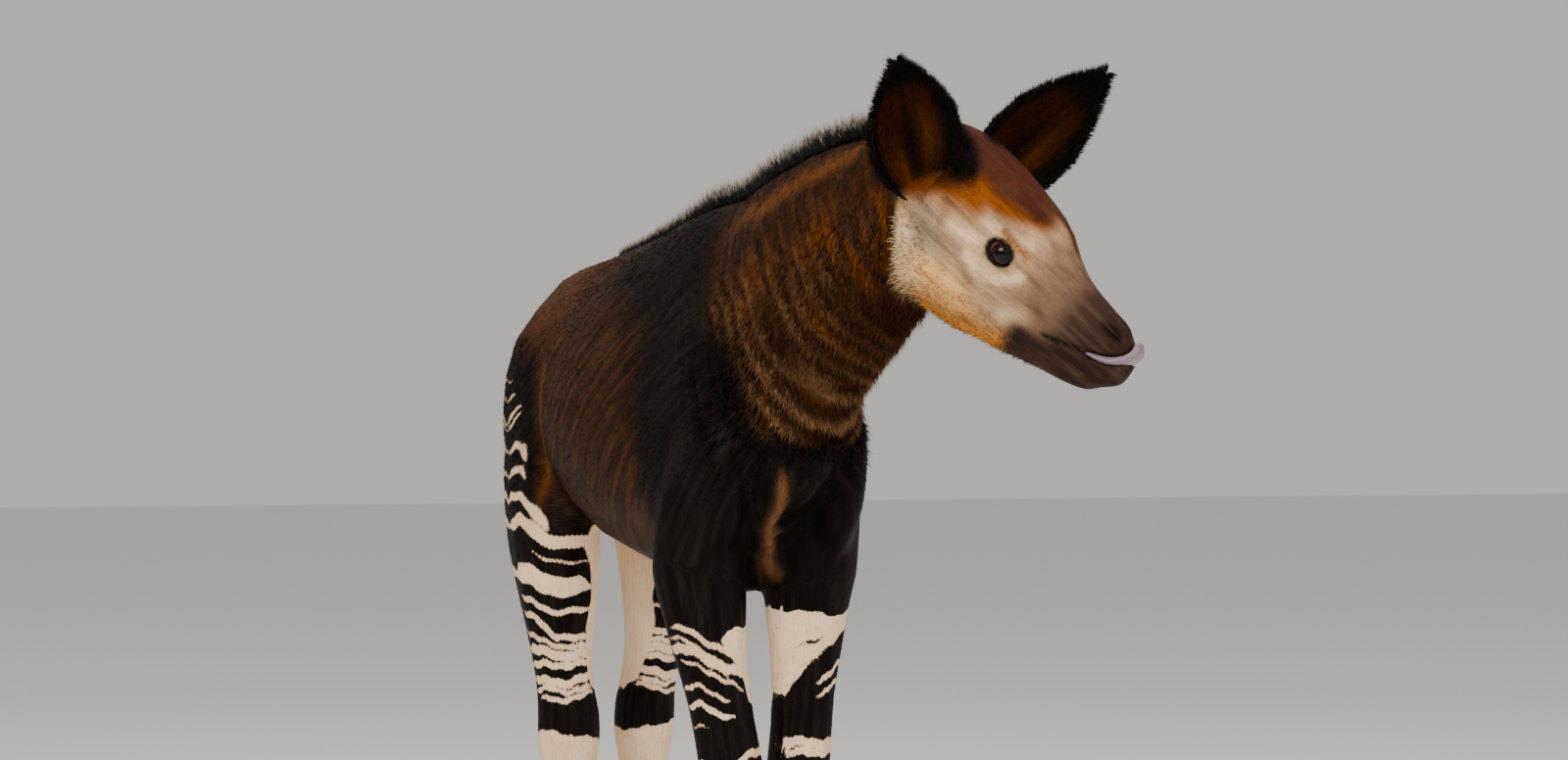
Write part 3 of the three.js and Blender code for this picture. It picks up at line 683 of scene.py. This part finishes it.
def coatFields(co, normal, label):
    n = len(co)
    name = np.array(fleshNodes)[label]
    fields = {"length": np.full(n, 6.5), "gloss": np.full(n, 0.50)}
    run, angle, _ = neckPlace(co)
    head, ear = headness(co), earness(co)
    ful = toHead(co)
    face = faceMask(ful)
    face = face * np.where(name == "neck", ramp(ful[:, 1] - 0.28 * (ful[:, 0] - 107), -184, -168), 1)
    x, y, z = co.T

    def plain(key, factor=1.0):
        return np.tile(tones[key] * factor, (n, 1))

    def lay(field, value, weight):
        value = np.asarray(value, float)
        value = np.tile(value, (n, 1)) if value.ndim == 1 else value
        fields[field] = mixed(fields[field], value, np.clip(weight, 0, 1))

    # trunk: black at the shoulder and breast, dark red brown over the flank and back
    fields["ground"], fields["streak"] = plain("black"), plain("sooty")
    edge = np.interp(z, [600, 700, 850, 943, 1035], [-250, -200, -180, -80, 95])
    red = ramp(y, edge - 20, edge + 25) * ramp(z, 560, 640)
    # painted shade: the flank tone darkens from 0.8 to 0.45 towards the belly
    lay("ground", mixed(plain("flank", 0.45), plain("flank", 0.8), ramp(z, 640, 800)), red)
    lay("streak", tones["rump"], red * 0.8)
    rump = ramp(y, 60, 240) * ramp(z, 860, 990)
    lay("ground", tones["rump"] * 0.8, rump)
    lay("streak", tones["rump"] * 1.3, rump)
    # painted sheen: the streaks are lighter along the top of the back
    backSheen = bump(z, 1050, 50) * ramp(y, edge - 20, edge + 40)
    lay("streak", tones["rump"] * 1.2, backSheen)
    thigh = ramp(np.abs(x), 50, 90)
    warm = bump(y, 203 - (z - 700) * 0.12, 7) * ramp(z, 640, 700) * (1 - ramp(z, 900, 1000)) * thigh
    lay("ground", tones["chestnut"] * 0.9, warm * 0.8)
    girth = np.arctan2(np.abs(x), z - 830) * 0.14
    fields["flow"] = np.column_stack([0.6 * y / 1000 - 0.8 * girth, 0.8 * y / 1000 + 0.6 * girth, np.zeros(n)])
    fields["lie"] = np.tile([0, 0.8, -0.6], (n, 1))
    # neck: dark brown at the crest, with chestnut and orange streaks towards the throat and cheek
    neck = ramp(run - 46 * bump(np.abs(angle), 55, 24), 178, 228) * (1 - head) * (1 - ear) * ramp(z, 780, 815)
    lower = 1 - ramp(np.abs(angle), 50, 125)
    warmth = np.clip(lower * ramp(run, 150, 300) + 0.5 * ramp(run, 300, 400) * (1 - ramp(np.abs(angle), 110, 160)), 0, 1)
    lay("ground", mixed(plain("brown", 0.30), tones["brown"] * 0.62, warmth), neck)
    lay("streak", mixed(plain("brown", 1.1), tones["chestnut"] * 0.62, warmth), neck)
    nearCheek = neck * lower * ramp(run, 330, 400)
    lay("streak", tones["orange"] * 0.6, nearCheek * 0.7)
    crestShade = neck * ramp(np.abs(angle), 120, 165)
    lay("ground", tones["black"] * 1.6, crestShade * 0.7)
    lay("ground", tones["rump"] * 1.5, neck * bump(np.abs(angle), 152, 9) * ramp(run, 200, 300) * 0.8)
    # painted highlight: the tops of the neck folds are lighter, most of all under the throat
    ridgeHighlight = foldRidge(run, angle) * neck * lower * (1 - ramp(run, 340, 400))
    deep = (0.3 + 0.7 * bump(run, 240, 50)) * (0.5 + 0.5 * bump(angle, 5, 40))
    lay("ground", tones["foldHighlight"] * 0.8, ridgeHighlight * deep * 0.95)
    lay("streak", tones["foldHighlight"] * 1.5, ridgeHighlight * deep * 0.95)
    lay("flow", np.column_stack([run / 1000, np.radians(angle) * 0.10, np.zeros(n)]), neck)
    lay("lie", [-0.05, 0.30, -0.95], neck)
    fields["length"] += neck * lower * 3
    throat = bump(run, 400, 60) * bump(angle, 0, 40) * (1 - head) * (1 - ear)
    lay("ground", tones["brown"] * 0.5, throat * 0.8)
    lay("streak", tones["chestnut"] * 0.7, throat * 0.8)
    # painted highlight: a pale line down the ridge of the brisket on the black breast
    brisketHighlight = bump(x, -21 - (z - 735) * 0.298, 6) * (y < -240) * ramp(z, 606, 630) * (1 - ramp(z, 725, 760))
    lay("ground", tones["brisketHighlight"], brisketHighlight)
    lay("streak", tones["foldHighlight"] * 0.7, brisketHighlight)
    # legs
    low = 1 - ramp(z, 640, 760)
    for leg in legs:
        own = (np.char.startswith(name, leg) | onHaunch(leg, name, co, 150)) * 1.0
        a = legAngle(leg, co)
        dark = own * np.maximum(low, ramp(a, 20, 40) * ramp(y, 200, 228) * (1 - ramp(z, 880, 960)) * leg.startswith("hind"))
        lay("ground", tones["black"], dark)
        lay("streak", tones["sooty"], dark)
        lay("flow", np.column_stack([np.radians(a) * 0.05, z / 1000 + 5, np.zeros(n)]), own * low)
        lay("lie", [0, 0.15, -1.0], own * low)
    fields["length"] -= 2.6 * low
    # head and ears
    lay("ground", tones["chestnut"], head * (1 - face) * 0.9)
    tone = faceTone(ful)
    lay("ground", tone, face)
    speckle = ramp(ful[:, 0], 262, 300)
    lay("streak", tone * 0.55, face * (1 - speckle))
    lay("streak", tone * 1.3 + tones["snout"] * 0.10, face * speckle)
    onFace = np.maximum(face, head)
    lay("flow", np.column_stack([ful[:, 1] / 1000, ful[:, 0] / 1000 + 9, np.abs(ful[:, 2]) / 1000]), onFace)
    lay("lie", -faceForward, onFace)
    fields["length"] = fields["length"] * (1 - onFace) + onFace * (4.4 - 2.2 * ramp(ful[:, 0], 220, 330))
    fields["gloss"] += 0.10 * onFace
    for shape in ears.values():
        t, v, w, axis, across, facing = earPlace(co, shape)
        own = ramp(t, -0.02, 0.08) * (1 - ramp(np.abs(v), 1.3, 1.6)) * (1 - ramp(np.abs(w), 55, 75)) * (t < 1.15)
        inside = ramp(normal @ facing, -0.1, 0.3)
        rim = np.clip(ramp(np.abs(v), 0.58, 0.80) + ramp(t, 0.66, 0.82), 0, 1)
        inner = mixed(plain("earInner", 0.42), tones["orange"] * 0.24, bump(v, -0.40, 0.18) * bump(t, 0.33, 0.22))
        inner = mixed(inner, tones["orange"] * 0.30, bump(v, 0.33, 0.2) * bump(t, 0.08, 0.2))
        # painted shade: the middle of the inner cup darkens to black
        inner = mixed(inner, tones["black"], bump(v, 0, 0.22) * bump(t, 0.3, 0.3) * 0.8)
        outer = mixed(plain("crown", 0.7), tones["black"], ramp(t, 0.25, 0.6))
        tone = mixed(mixed(outer, inner, inside), tones["black"], rim)
        lay("ground", tone, own)
        lay("streak", tone * 1.7, own)
        lay("lie", axis, own)
        lay("flow", np.column_stack([v * 0.05, t * 0.17 + 13, np.zeros(n)]), own)
        fields["length"] = fields["length"] * (1 - own) + own * (5 + 3 * inside)
        fields["gloss"] = fields["gloss"] * (1 - own) + own * 0.65
    fields["lie"] = unit(fields["lie"])
    fields["white"] = np.where(np.maximum(onFace, ear) > 0.4, -60, whiteAt(co, label))
    return fields


vectorFields = ("ground", "streak", "flow")
floatFields = ("white", "gloss")


def addAttributes(mesh, fields, tip=None):
    for key in vectorFields:
        mesh.attributes.new(key, "FLOAT_VECTOR", "POINT").data.foreach_set("vector", fields[key].astype(np.float32).ravel())
    for key in floatFields:
        mesh.attributes.new(key, "FLOAT", "POINT").data.foreach_set("value", fields[key].astype(np.float32))
    if tip is not None:
        mesh.attributes.new("tip", "FLOAT", "POINT").data.foreach_set("value", tip.astype(np.float32))


skinCo = vertsOf(skin)
skinNormal = normalsOf(skin)
skinLabels = labelsAt(skinCo)
skinFields = coatFields(skinCo, skinNormal, skinLabels)
addAttributes(skin.data, skinFields)
print("coat colours worked out")


# Coat and skin finish
def coatFinish(name, hair):
    m = Finish(name)
    flow = m.attribute("flow", "Vector")
    place = m.node("ShaderNodeTexCoord", output="Object")
    white = m.attribute("white")
    streaks = m.noise(m.scaled(flow, (95.0, 9.0, 60.0)), 1.0, 4.0)
    fine = m.noise(m.scaled(flow, (420.0, 30.0, 300.0)), 1.0, 3.0)
    patches = m.noise(place, 14.0, 3.0)
    base = m.mix(m.attribute("ground", "Vector"), m.attribute("streak", "Vector"), streaks.between(0.46, 0.68) * 0.9)
    ragged = white + (fine - 0.5) * 3.4 + (m.noise(place, 90.0, 2.0) - 0.5) * 1.2
    pale = m.mix(tuple(tones["white"]) + (1,), tuple(tones["white"] * np.array([0.86, 0.74, 0.66])) + (1,), patches.between(0.35, 0.75))
    colour = m.mix(base, pale, ragged.between(-0.9, 0.9))
    shade = 0.72 + fine * 0.56
    if hair:
        tip = m.attribute("tip")
        shade = shade * (0.75 + tip * 0.5)
    shaded = m.node("ShaderNodeVectorMath", {"operation": "SCALE"}, {0: colour, "Scale": shade})
    m.set(Base_Color=shaded, Roughness=m.attribute("gloss") + (patches - 0.5) * 0.16)
    m.shader.inputs["Specular IOR Level"].default_value = 0.04
    if not hair:
        height = fine * 0.5 + streaks * 1.0
        m.set(Normal=m.relief(height, 0.5, 0.0016))
    return m.material


skin.data.materials.append(coatFinish("short coat on skin", False))
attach(skin, "root")
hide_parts(*fleshNodes)

# Hair
skin.data.calc_loop_triangles()
corner = np.zeros(len(skin.data.loop_triangles) * 3, np.int32)
skin.data.loop_triangles.foreach_get("vertices", corner)
corner = corner.reshape(-1, 3)
edgeA = skinCo[corner[:, 1]] - skinCo[corner[:, 0]]
edgeB = skinCo[corner[:, 2]] - skinCo[corner[:, 0]]
faceArea = np.linalg.norm(np.cross(edgeA, edgeB), axis=1) / 2
unwrapCells = {"columns": 6, "rows": 4}


def unwrapPlace(co, normal):
    # a box unwrap of the skin: six directions, each for the left, right, front and rear of the calf
    facing = np.argmax(np.abs(normal), axis=1)
    positive = normal[np.arange(len(co)), facing] > 0
    column = facing * 2 + positive
    row = (co[:, 0] > 0) * 1 + (co[:, 1] > -60) * 2
    first = np.where(facing == 0, co[:, 1], co[:, 0])
    second = np.where(facing == 2, co[:, 1], co[:, 2])
    a = (first + 800) / 1500 * 0.94 + 0.03
    b = np.where(facing == 2, (second + 800) / 1400, second / 1320) * 0.94 + 0.03
    return np.column_stack([(column + np.clip(a, 0, 1)) / unwrapCells["columns"], (row + np.clip(b, 0, 1)) / unwrapCells["rows"]])


def skinRoots(count, weight):
    density = faceArea * weight[corner].mean(axis=1)
    chosen = rng.choice(len(corner), size=count, p=density / density.sum())
    a, b = rng.random(count), rng.random(count)
    over = a + b > 1
    a[over], b[over] = 1 - a[over], 1 - b[over]
    weights = np.column_stack([1 - a - b, a, b])
    c = corner[chosen]
    blend = lambda values: np.einsum("ij,ij...->i...", weights, values[c])
    place, normal, label = blend(skinCo), unit(blend(skinNormal)), skinLabels[c[:, 0]]
    fields = coatFields(place, normal, label)
    fields["label"] = label
    return place, normal, fields


def growHair(name, root, normal, direction, length, width, droop, fields, levels=1, thick=0.35, material=None):
    # each hair is a closed, flat, tapered tuft of a few sections that bends by its droop
    n = len(root)
    direction = unit(direction)
    side = unit(np.cross(direction, normal))
    out = unit(np.cross(side, direction))
    rows = []
    tips = []
    for k in range(levels):
        t = k / levels
        centre = root + direction * (length * t)[:, None] + droop * (t * t)
        w = (width * (1 - 0.55 * t))[:, None] / 2
        rows += [centre - side * w, centre + side * w, centre + out * w * 2 * thick]
        tips += [t] * 3
    rows.append(root + direction * length[:, None] + droop)
    tips.append(1.0)
    per = len(rows)
    co = np.stack(rows, axis=1).reshape(-1, 3)
    faces = [(0, 2, 1)]
    for k in range(levels - 1):
        a = 3 * k
        for i in range(3):
            j = (i + 1) % 3
            faces += [(a + i, a + j, a + 3 + j), (a + i, a + 3 + j, a + 3 + i)]
    last = 3 * (levels - 1)
    faces += [(last + i, last + (i + 1) % 3, per - 1) for i in range(3)]
    faces = np.array(faces)
    allFaces = (faces[None, :, :] + (np.arange(n) * per)[:, None, None]).reshape(-1, 3)
    mesh = bpy.data.meshes.new(name)
    mesh.vertices.add(len(co))
    mesh.vertices.foreach_set("co", toScene(co).astype(np.float32).ravel())
    mesh.loops.add(len(allFaces) * 3)
    mesh.loops.foreach_set("vertex_index", allFaces.astype(np.int32).ravel())
    mesh.polygons.add(len(allFaces))
    mesh.polygons.foreach_set("loop_start", np.arange(0, len(allFaces) * 3, 3, dtype=np.int32))
    mesh.update(calc_edges=True)
    spread = {k: np.repeat(v, per, axis=0) for k, v in fields.items() if k in vectorFields + floatFields}
    addAttributes(mesh, spread, np.tile(tips, n))
    spot = np.repeat(unwrapPlace(root, normal), per, axis=0) + np.tile(
        0.0015 * np.column_stack([np.cos(np.arange(per) * 2.4), np.sin(np.arange(per) * 2.4)]), (n, 1)
    )
    layer = mesh.uv_layers.new(name="OFBake")
    layer.data.foreach_set("uv", spot[allFaces.ravel()].astype(np.float32).ravel())
    obj = bpy.data.objects.new(name, mesh)
    bpy.context.scene.collection.objects.link(obj)
    mesh.materials.append(material or hairMaterial)
    activate(obj)
    bpy.ops.object.shade_smooth()
    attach(obj, "root")
    print(name, len(allFaces), "faces")
    return obj


hairMaterial = coatFinish("coat hair", True)


maneFinish = Finish("mane bristle")
tip = maneFinish.attribute("tip")
strand = maneFinish.noise(maneFinish.scaled(maneFinish.attribute("flow", "Vector"), (900.0, 900.0, 900.0)), 1.0, 2.0)
paleTip = ((tip - 0.58) * 2.4 + (strand - 0.44) * 2.2).between(0.1, 0.9)
maneFinish.set(Base_Color=maneFinish.mix((0.006, 0.0045, 0.004, 1), (0.24, 0.20, 0.165, 1), paleTip), Roughness=0.6)
maneFinish.shader.inputs["Specular IOR Level"].default_value = 0.2


def layOn(normal, lie, rise, scatter):
    n = len(normal)
    flat = lie - normal * np.einsum("ij,ij->i", lie, normal)[:, None]
    flat = unit(unit(flat) + rng.normal(0, scatter, (n, 3)))
    flat = unit(flat - normal * np.einsum("ij,ij->i", flat, normal)[:, None])
    r = np.radians(rise)[:, None] if np.ndim(rise) else math.radians(rise)
    return flat * np.cos(r) + normal * np.sin(r)


# Short coat all over
shortCoat = {"pieces": 6, "tufts": 49000, "width": 1.6, "rise": 11}
headWeight = headness(skinCo)
earWeight = earness(skinCo)
onHind = (skinCo[:, 1] > 200) * (1 - ramp(skinCo[:, 2], 880, 900))
stripeWeight = np.maximum(1 - ramp(skinCo[:, 2], 560, 640), onHind) * ramp(skinCo[:, 2], 300, 370)
for i in range(shortCoat["pieces"]):
    weight = 1 + 2.4 * headWeight + 1.2 * earWeight + 1.5 * stripeWeight
    root, normal, fields = skinRoots(int(shortCoat["tufts"] * share), weight)
    ful = toHead(root)
    nearEye = np.linalg.norm(np.column_stack([ful[:, 0] - eyes["forward"], ful[:, 1] - eyes["up"], np.abs(ful[:, 2]) - 60]), axis=1)
    keep = (nearEye > 23) & ~((ful[:, 0] > 335) & (headness(root) > 0.5)) & (root[:, 2] > 30)
    root, normal = root[keep], normal[keep]
    fields = {k: v[keep] for k, v in fields.items()}
    n = len(root)
    length = fields["length"] * rng.uniform(0.75, 1.3, n)
    rise = shortCoat["rise"] + rng.normal(0, 5, n)
    direction = layOn(normal, fields["lie"], rise, 0.16)
    width = shortCoat["width"] * np.clip(fields["length"] / 7, 0.5, 1.1)
    onLeg = fields["white"] > -59
    fields["white"][onLeg] = whiteAt((root + direction * (length * 0.6)[:, None])[onLeg], fields["label"][onLeg])
    growHair(f"short_coat_{i + 1}", root - normal * 0.4, normal, direction, length, width, -normal * (length * 0.10)[:, None], fields)

# Mane: stiff upright bristles along the crest
maneSizes = {"count": 6200, "height": 31, "spread": 7.5}
n = int(maneSizes["count"] * share)
total = np.linalg.norm(np.diff(crestLine, axis=0), axis=1)
ends = np.concatenate([[0], np.cumsum(total)])
at = rng.uniform(70, ends[-1] - 6, n)


def onCrest(run):
    return np.column_stack([np.interp(run, ends, crestLine[:, k]) for k in range(3)])


spine = onCrest(at)
ahead3 = unit(onCrest(at + 6) - onCrest(at - 6))
sideways = unit(np.cross(ahead3, [0, 0, 1.0]))
upright = unit(np.cross(sideways, ahead3))
offset = rng.normal(0, 0.5, n)
root = spine + sideways * (offset * maneSizes["spread"])[:, None] - upright * 5
clump = np.sin(at / 2.3 + 1.5 * np.sin(at / 17)) * 0.9 + np.sin(at / 0.9 + 1) * 0.4
lean = sideways * (offset * 0.28)[:, None] + ahead3 * (clump * 0.22 + rng.normal(0, 0.07, n))[:, None]
height = maneSizes["height"] * (0.5 + 0.5 * ramp(at, 110, 420)) * (1 - 0.25 * np.abs(offset))
height = height * (1 + 0.16 * np.sin(at / 3.1)) * rng.uniform(0.72, 1.12, n) + 5
fields = {
    "ground": np.tile(tones["black"] * 1.2, (n, 1)),
    "streak": np.tile(tones["grey"] * 0.9, (n, 1)),
    "flow": np.column_stack([at / 1000, np.zeros(n), np.zeros(n)]),
    "white": np.full(n, -60.0),
    "gloss": np.full(n, 0.55),
}
growHair("mane", root, sideways, upright + lean, height, np.full(n, 1.5), ahead3 * 1.5, fields, levels=3, material=maneFinish.material)

# Ears: a fringe along the rims
for name, shape in ears.items():
    n = int(3600 * share)
    t = rng.uniform(0.0, 1.0, n)
    hand = rng.choice([-1, 1], n)
    _, _, _, axis, across, facing = earPlace(np.zeros((1, 3)), shape)
    base = np.array(shape["base"], float)
    reach = np.array(shape["reach"], float)
    wide = np.interp(t, [r[0] for r in earShape], [r[1] for r in earShape])
    root = base + reach * t[:, None] + across * (hand * (wide - 4))[:, None] + facing * rng.uniform(-6, 3, n)[:, None]
    away = unit(across * hand[:, None] * 0.75 + axis * 0.75 + facing * rng.normal(0.15, 0.2, n)[:, None] + rng.normal(0, 0.12, (n, 3)))
    fields = {
        "ground": np.tile(tones["black"], (n, 1)),
        "streak": np.tile(tones["sooty"] * 1.5, (n, 1)),
        "flow": np.column_stack([t * 0.2, hand * 0.03, np.zeros(n)]),
        "white": np.full(n, -60.0),
        "gloss": np.full(n, 0.6),
    }
    length = rng.uniform(6, 12, n)
    growHair(name + "_fringe", root, np.tile(facing, (n, 1)), away, length, np.full(n, 0.9), facing * 0.5, fields, levels=2)

# Throat and jaw: longer hair that breaks the outline
run, angle, away = neckPlace(skinCo)
throatWeight = ramp(run, 170, 230) * bump(angle, 0, 55) * (1 - headWeight) * (1 - earWeight) * ramp(skinCo[:, 2], 740, 800)
jawWeight = headWeight * ramp(-toHead(skinCo)[:, 1], 105, 140) * (1 - ramp(toHead(skinCo)[:, 0], 250, 320))
root, normal, fields = skinRoots(int(11000 * share), throatWeight + 0.4 * jawWeight + 1e-6)
n = len(root)
length = rng.uniform(7, 15, n) * (1 - 0.45 * headness(root))
direction = layOn(normal, fields["lie"], 30 + rng.normal(0, 8, n), 0.25)
droop = np.array([0, 0, -1.0]) * (length * 0.2)[:, None]
growHair("throat_hair", root - normal * 0.5, normal, direction, length, np.full(n, 1.3), droop, fields, levels=2)

# Tail tuft
n = int(1500 * share)
hang = rng.uniform(-1, 1, n)
turn = rng.uniform(0, 2 * math.pi, n)
ring = np.column_stack([np.cos(turn), np.sin(turn), np.zeros(n)])
root = np.column_stack([np.zeros(n), np.full(n, 466.0), rng.uniform(500, 610, n)]) + ring * rng.uniform(6, 11, n)[:, None]
direction = unit(np.column_stack([ring[:, 0] * 0.16, ring[:, 1] * 0.16, np.full(n, -1.0)]) + rng.normal(0, 0.05, (n, 3)))
fields = {
    "ground": np.tile(tones["black"] * 1.3, (n, 1)),
    "streak": np.tile(tones["brown"], (n, 1)),
    "flow": np.column_stack([turn * 0.01, hang * 0.01, np.zeros(n)]),
    "white": np.full(n, -60.0),
    "gloss": np.full(n, 0.5),
}
length = np.minimum(rng.uniform(60, 120, n), root[:, 2] - 448)
growHair("tail_tuft_hair", root, ring, direction, length, np.full(n, 2.4), -ring * 8, fields, levels=4)

# Eyes: a dark ball with a brown iris and a clear bulging front
eyeSizes = {"iris": 0.62, "pupil": (0.40, 0.22), "bulge": 0.10}


def makeEye(side):
    centre = fromHead((eyes["forward"], eyes["up"], side * eyes["aside"]))
    bpy.ops.mesh.primitive_uv_sphere_add(segments=48, ring_count=32, radius=eyes["radius"] / 1000, location=toScene(centre))
    ball = bpy.context.object
    bpy.ops.object.transform_apply(location=True, rotation=True, scale=True)
    ball.name = ball.data.name = "eyeball_" + ("left" if side > 0 else "right")
    co = vertsOf(ball)
    d = unit(co - centre)
    gaze = unit(faceLeft * side + faceForward * 0.28 + faceUp * 0.06)
    front = d @ gaze
    level = unit(np.cross(faceUp, gaze))
    upward = np.cross(gaze, level)
    pupil = (d @ level / eyeSizes["pupil"][0]) ** 2 + (d @ upward / eyeSizes["pupil"][1]) ** 2
    ring = np.sqrt(np.maximum(0, 1 - front**2))
    co = centre + (co - centre) * (1 + eyeSizes["bulge"] * ramp(front, 0.75, 1.0))[:, None] * 0.985
    setVerts(ball, co)
    iris = mixed(np.tile(np.array([0.010, 0.004, 0.003]), (len(co), 1)), np.array([0.001, 0.001, 0.0012]), 1 - ramp(pupil, 0.8, 1.3))
    rimTone = mixed(iris, np.array([0.090, 0.030, 0.022]), ramp(ring, eyeSizes["iris"], eyeSizes["iris"] + 0.1))
    rimTone = np.where((front > 0)[:, None], rimTone, np.array([0.020, 0.010, 0.008]))
    ball.data.attributes.new("tint", "FLOAT_VECTOR", "POINT").data.foreach_set("vector", rimTone.astype(np.float32).ravel())
    ball.data.materials.append(eyeMaterial)
    activate(ball)
    bpy.ops.object.shade_smooth()
    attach(ball, "root")
    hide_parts("eye_left" if side > 0 else "eye_right")


eyeFinish = Finish("wet eye")
eyeFinish.set(Base_Color=eyeFinish.attribute("tint", "Vector"), Roughness=0.08)
eyeFinish.shader.inputs["Specular IOR Level"].default_value = 0.12
eyeFinish.shader.inputs["Coat Weight"].default_value = 0.14
eyeFinish.shader.inputs["Coat Roughness"].default_value = 0.03
eyeMaterial = eyeFinish.material
deselectAll()
for side in (-1, 1):
    makeEye(side)

# Tongue
tongue = copyOf(["tongue"], "tongue_piece")
applyModifier(tongue, "REMESH", mode="VOXEL", voxel_size=0.0014, adaptivity=0.0)
applyModifier(tongue, "SMOOTH", factor=0.5, iterations=10)
tongueFinish = Finish("moist tongue")
mottle = tongueFinish.noise(tongueFinish.node("ShaderNodeTexCoord", output="Object"), 260.0, 3.0)
tongueFinish.set(Base_Color=tongueFinish.mix((0.13, 0.090, 0.105, 1), (0.25, 0.185, 0.21, 1), mottle), Roughness=0.34)
tongueFinish.set(Normal=tongueFinish.relief(mottle, 0.3, 0.0006))
tongue.data.materials.append(tongueFinish.material)
activate(tongue)
bpy.ops.object.shade_smooth()
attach(tongue, "root")
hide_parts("tongue")

# Hooves
hoofFinish = Finish("hoof horn")
place = hoofFinish.node("ShaderNodeTexCoord", output="Object")
rings = hoofFinish.noise(hoofFinish.scaled(place, (18.0, 18.0, 420.0)), 1.0, 3.0)
hoofFinish.set(Base_Color=hoofFinish.mix((0.018, 0.014, 0.012, 1), (0.060, 0.045, 0.036, 1), rings.between(0.35, 0.7)), Roughness=0.42)
hoofFinish.set(Normal=hoofFinish.relief(rings, 0.4, 0.0008))
for leg in legs:
    names = [leg + "_claw_inner", leg + "_claw_outer"]
    hoof = copyOf(names, leg + "_hooves")
    applyModifier(hoof, "REMESH", mode="VOXEL", voxel_size=0.0018, adaptivity=0.0)
    co = vertsOf(hoof)
    setGroup(hoof, "horn", ramp(co[:, 2], 1.5, 5))
    applyModifier(hoof, "SMOOTH", factor=0.5, iterations=8, vertex_group="horn")
    hoof.vertex_groups.clear()
    hoof.data.materials.append(hoofFinish.material)
    activate(hoof)
    bpy.ops.object.shade_smooth()
    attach(hoof, "root")
    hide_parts(*names)
print("eyes, tongue and hooves made")

# Floor, light and camera
deselectAll()
bpy.ops.mesh.primitive_plane_add(size=60, location=(0, 0, 0))
floor = bpy.context.object
floor.name = "floor"
floorFinish = Finish("pale floor")
floorFinish.set(Base_Color=(0.80, 0.79, 0.77, 1), Roughness=0.9)
floor.data.materials.append(floorFinish.material)

lamps = {
    "key": {"place": (-3.4, -3.2, 3.8), "size": 2.6, "power": 330},
    "fill": {"place": (3.6, -3.6, 2.0), "size": 3.0, "power": 120},
    "top": {"place": (0.2, 0.4, 4.4), "size": 3.2, "power": 110},
}
for name, lamp in lamps.items():
    bpy.ops.object.light_add(type="AREA", location=lamp["place"])
    light = bpy.context.object
    light.name = name
    light.data.size = lamp["size"]
    light.data.energy = lamp["power"]
    light.rotation_euler = (Vector((0, 0, 0.7)) - Vector(lamp["place"])).to_track_quat("-Z", "Y").to_euler()

world = bpy.data.worlds.new("studio") if not bpy.context.scene.world else bpy.context.scene.world
bpy.context.scene.world = world
world.use_nodes = True
world.node_tree.nodes["Background"].inputs["Color"].default_value = (1.0, 0.98, 0.95, 1)
world.node_tree.nodes["Background"].inputs["Strength"].default_value = 0.55

cameraSizes = {"place": (-1690, -4460, 810), "azimuth": -22.4, "pitch": 0.64, "lens": 84.04}
bpy.ops.object.camera_add(location=toScene(cameraSizes["place"]))
camera = bpy.context.object
camera.data.sensor_width = 36
camera.data.lens = cameraSizes["lens"]
camera.rotation_euler = (math.radians(90 + cameraSizes["pitch"]), 0, math.radians(cameraSizes["azimuth"]))
bpy.context.scene.camera = camera

print("all pieces made")
